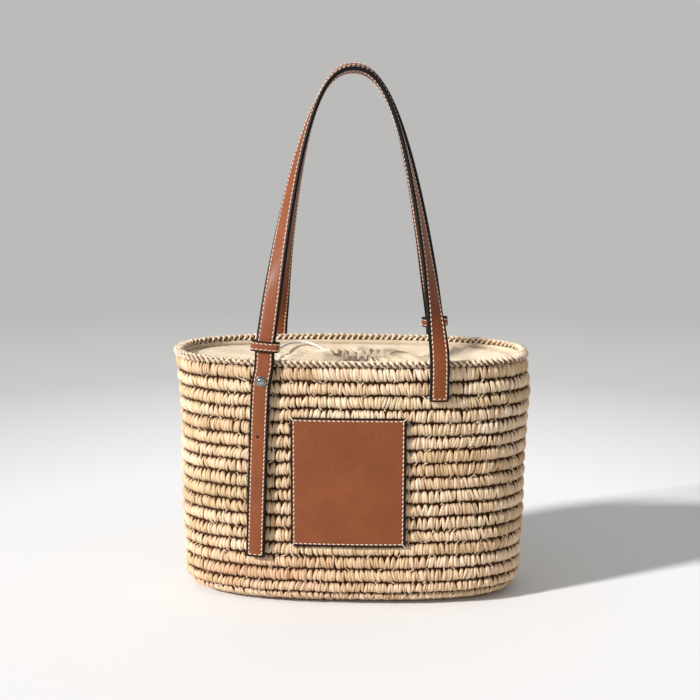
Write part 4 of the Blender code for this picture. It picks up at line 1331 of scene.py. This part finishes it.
def patch_surface(x, drop):
    """The patch's face: the wall's crests pushed out, with a shallow channel and soft wrinkles.

    x runs from the patch's left edge and drop from its top edge.
    """
    place_x = PATCH_SHIFT - PATCH_WIDTH / 2.0 + x
    height = WALL_TOP - PATCH_DROP - drop
    y, normal = front_wall(place_x, height)
    inside = from_edge(x, drop)
    channel = CHANNEL_DEPTH * np.exp(-((inside - PATCH_STITCH) / CHANNEL_WIDTH) ** 2)
    channel = channel + 0.0006 * np.clip(1.0 - inside / PATCH_PAINT, 0.0, 1.0) ** 2
    slope = (drop - 0.012 - 0.1 * (x - 0.05)) / 0.0035
    wrinkle = 0.00035 * np.exp(-slope ** 2 - ((x - 0.052) / 0.018) ** 2)
    swell = 0.00025 * np.sin(55.0 * x + 20.0 * drop) * np.sin(40.0 * drop + 1.0)
    out = GAP + PATCH_LEATHER - channel + wrinkle + swell
    return np.stack([place_x, y, height], axis=-1) + normal * out[..., None], normal


def patch():
    """The sheet of leather with its thickness and painted edge."""
    x, drop = np.meshgrid(close_at_edges(PATCH_WIDTH, 42), close_at_edges(PATCH_HEIGHT, 48))
    points, _ = patch_surface(x, drop)
    faces, _ = grid(*x.shape)
    middle_x, middle_drop = (values.ravel()[faces].mean(axis=1) for values in (x, drop))
    piece = skin("patch_leather", points, [leather, dark_edge], "leather", ("front_patch",),
                 (False, False), painted=from_edge(middle_x, middle_drop) < PATCH_PAINT)
    modify(piece, "leather_thickness", "SOLIDIFY", thickness=PATCH_LEATHER, offset=-1.0,
           material_offset_rim=1)
    modify(piece, "rounded_edge", "BEVEL", width=0.0006, segments=3, limit_method="ANGLE",
           angle_limit=math.radians(60.0), material=1)


def patch_row(spots, step, length):
    """Stitches at spots of the patch, each heading one small step on."""
    centre, out = patch_surface(*spots.T)
    heading = unit(patch_surface(*(spots + step).T)[0] - centre)
    return saddle(centre, heading, np.cross(heading, out), out, length)


def patch_stitches():
    """A line of stitches along each side and a long tack across each corner."""
    size = np.array([PATCH_WIDTH, PATCH_HEIGHT])
    corners = np.array([(0, 0), (1, 0), (1, 1), (0, 1)]) * (size - 2.0 * PATCH_STITCH) + PATCH_STITCH
    made = []
    for start, end in zip(corners, np.roll(corners, -1, axis=0)):
        count = round(np.linalg.norm(end - start) / PATCH_STITCH_PITCH)
        spots = start + (end - start) * ((np.arange(count) + 0.5) / count)[:, None]
        made.append(patch_row(spots, (end - start) * 0.001, PATCH_STITCH_LENGTH))
    outwards = np.sign(corners - size / 2.0) / math.sqrt(2.0)
    made.append(patch_row(corners + outwards * PATCH_TACK * 0.30, outwards * 0.0005, PATCH_TACK))
    return np.concatenate(made)


patch()
strand_mesh("patch_thread", patch_stitches(), thread, "cotton")

# %% [markdown]
# ## Floor and light
# The bag stands on a pale floor. One sun-like light from the front left rakes across the straw,
# so every loop throws a small shadow, and a pale surround fills the shadows softly.

# %% Stage
KEY_DIRECTION = (-0.87, -0.49, 0.54)
FLOOR_RADIUS, FLOOR_SIDES = 40.0, 96


def floor():
    """A wide round floor with a painted pool of light: pale near the bag, fading to the grey of the
    surround.
    """
    paper = Finish("floor_paper", Roughness=1.0, Specular_IOR_Level=0.0)
    distance = paper.node("ShaderNodeVectorMath", {"operation": "LENGTH"}, {0: paper.place()}, output=1)
    # Painted pool of light: the colour is pale near the bag and greyer further off.
    paper.surface(Base_Color=paper.ramp(distance.above(0.40, 1.60), (0.0, 227, 228, 229),
                                        (0.45, 186, 187, 188), (1.0, 170, 171, 171)))
    ring = FLOOR_RADIUS * spokes(np.array([1.0, 0.0, 0.0]), np.array([0.0, 1.0, 0.0]), FLOOR_SIDES)
    mesh = bpy.data.meshes.new("floor")
    mesh.from_pydata(ring.tolist(), [], [list(range(FLOOR_SIDES))])
    mesh.materials.append(paper.material)
    add_object("floor", mesh)


def stage():
    """The floor, a sun-like key from the front left and an even pale world."""
    floor()
    sun = bpy.data.lights.new("key", "SUN")
    sun.energy = 4.9
    sun.angle = math.radians(5.0)
    sun.color = (1.0, 0.97, 0.955)
    key = add_object("key", sun)
    key.rotation_euler = Vector(KEY_DIRECTION).to_track_quat("Z", "Y").to_euler()
    world = bpy.data.worlds.new("studio")
    bpy.context.scene.world = world
    world.use_nodes = True
    background = world.node_tree.nodes["Background"].inputs
    background["Color"].default_value = (1.0, 0.99, 0.97, 1.0)
    background["Strength"].default_value = 0.50
    bpy.context.scene.view_settings.view_transform = "Standard"


stage()
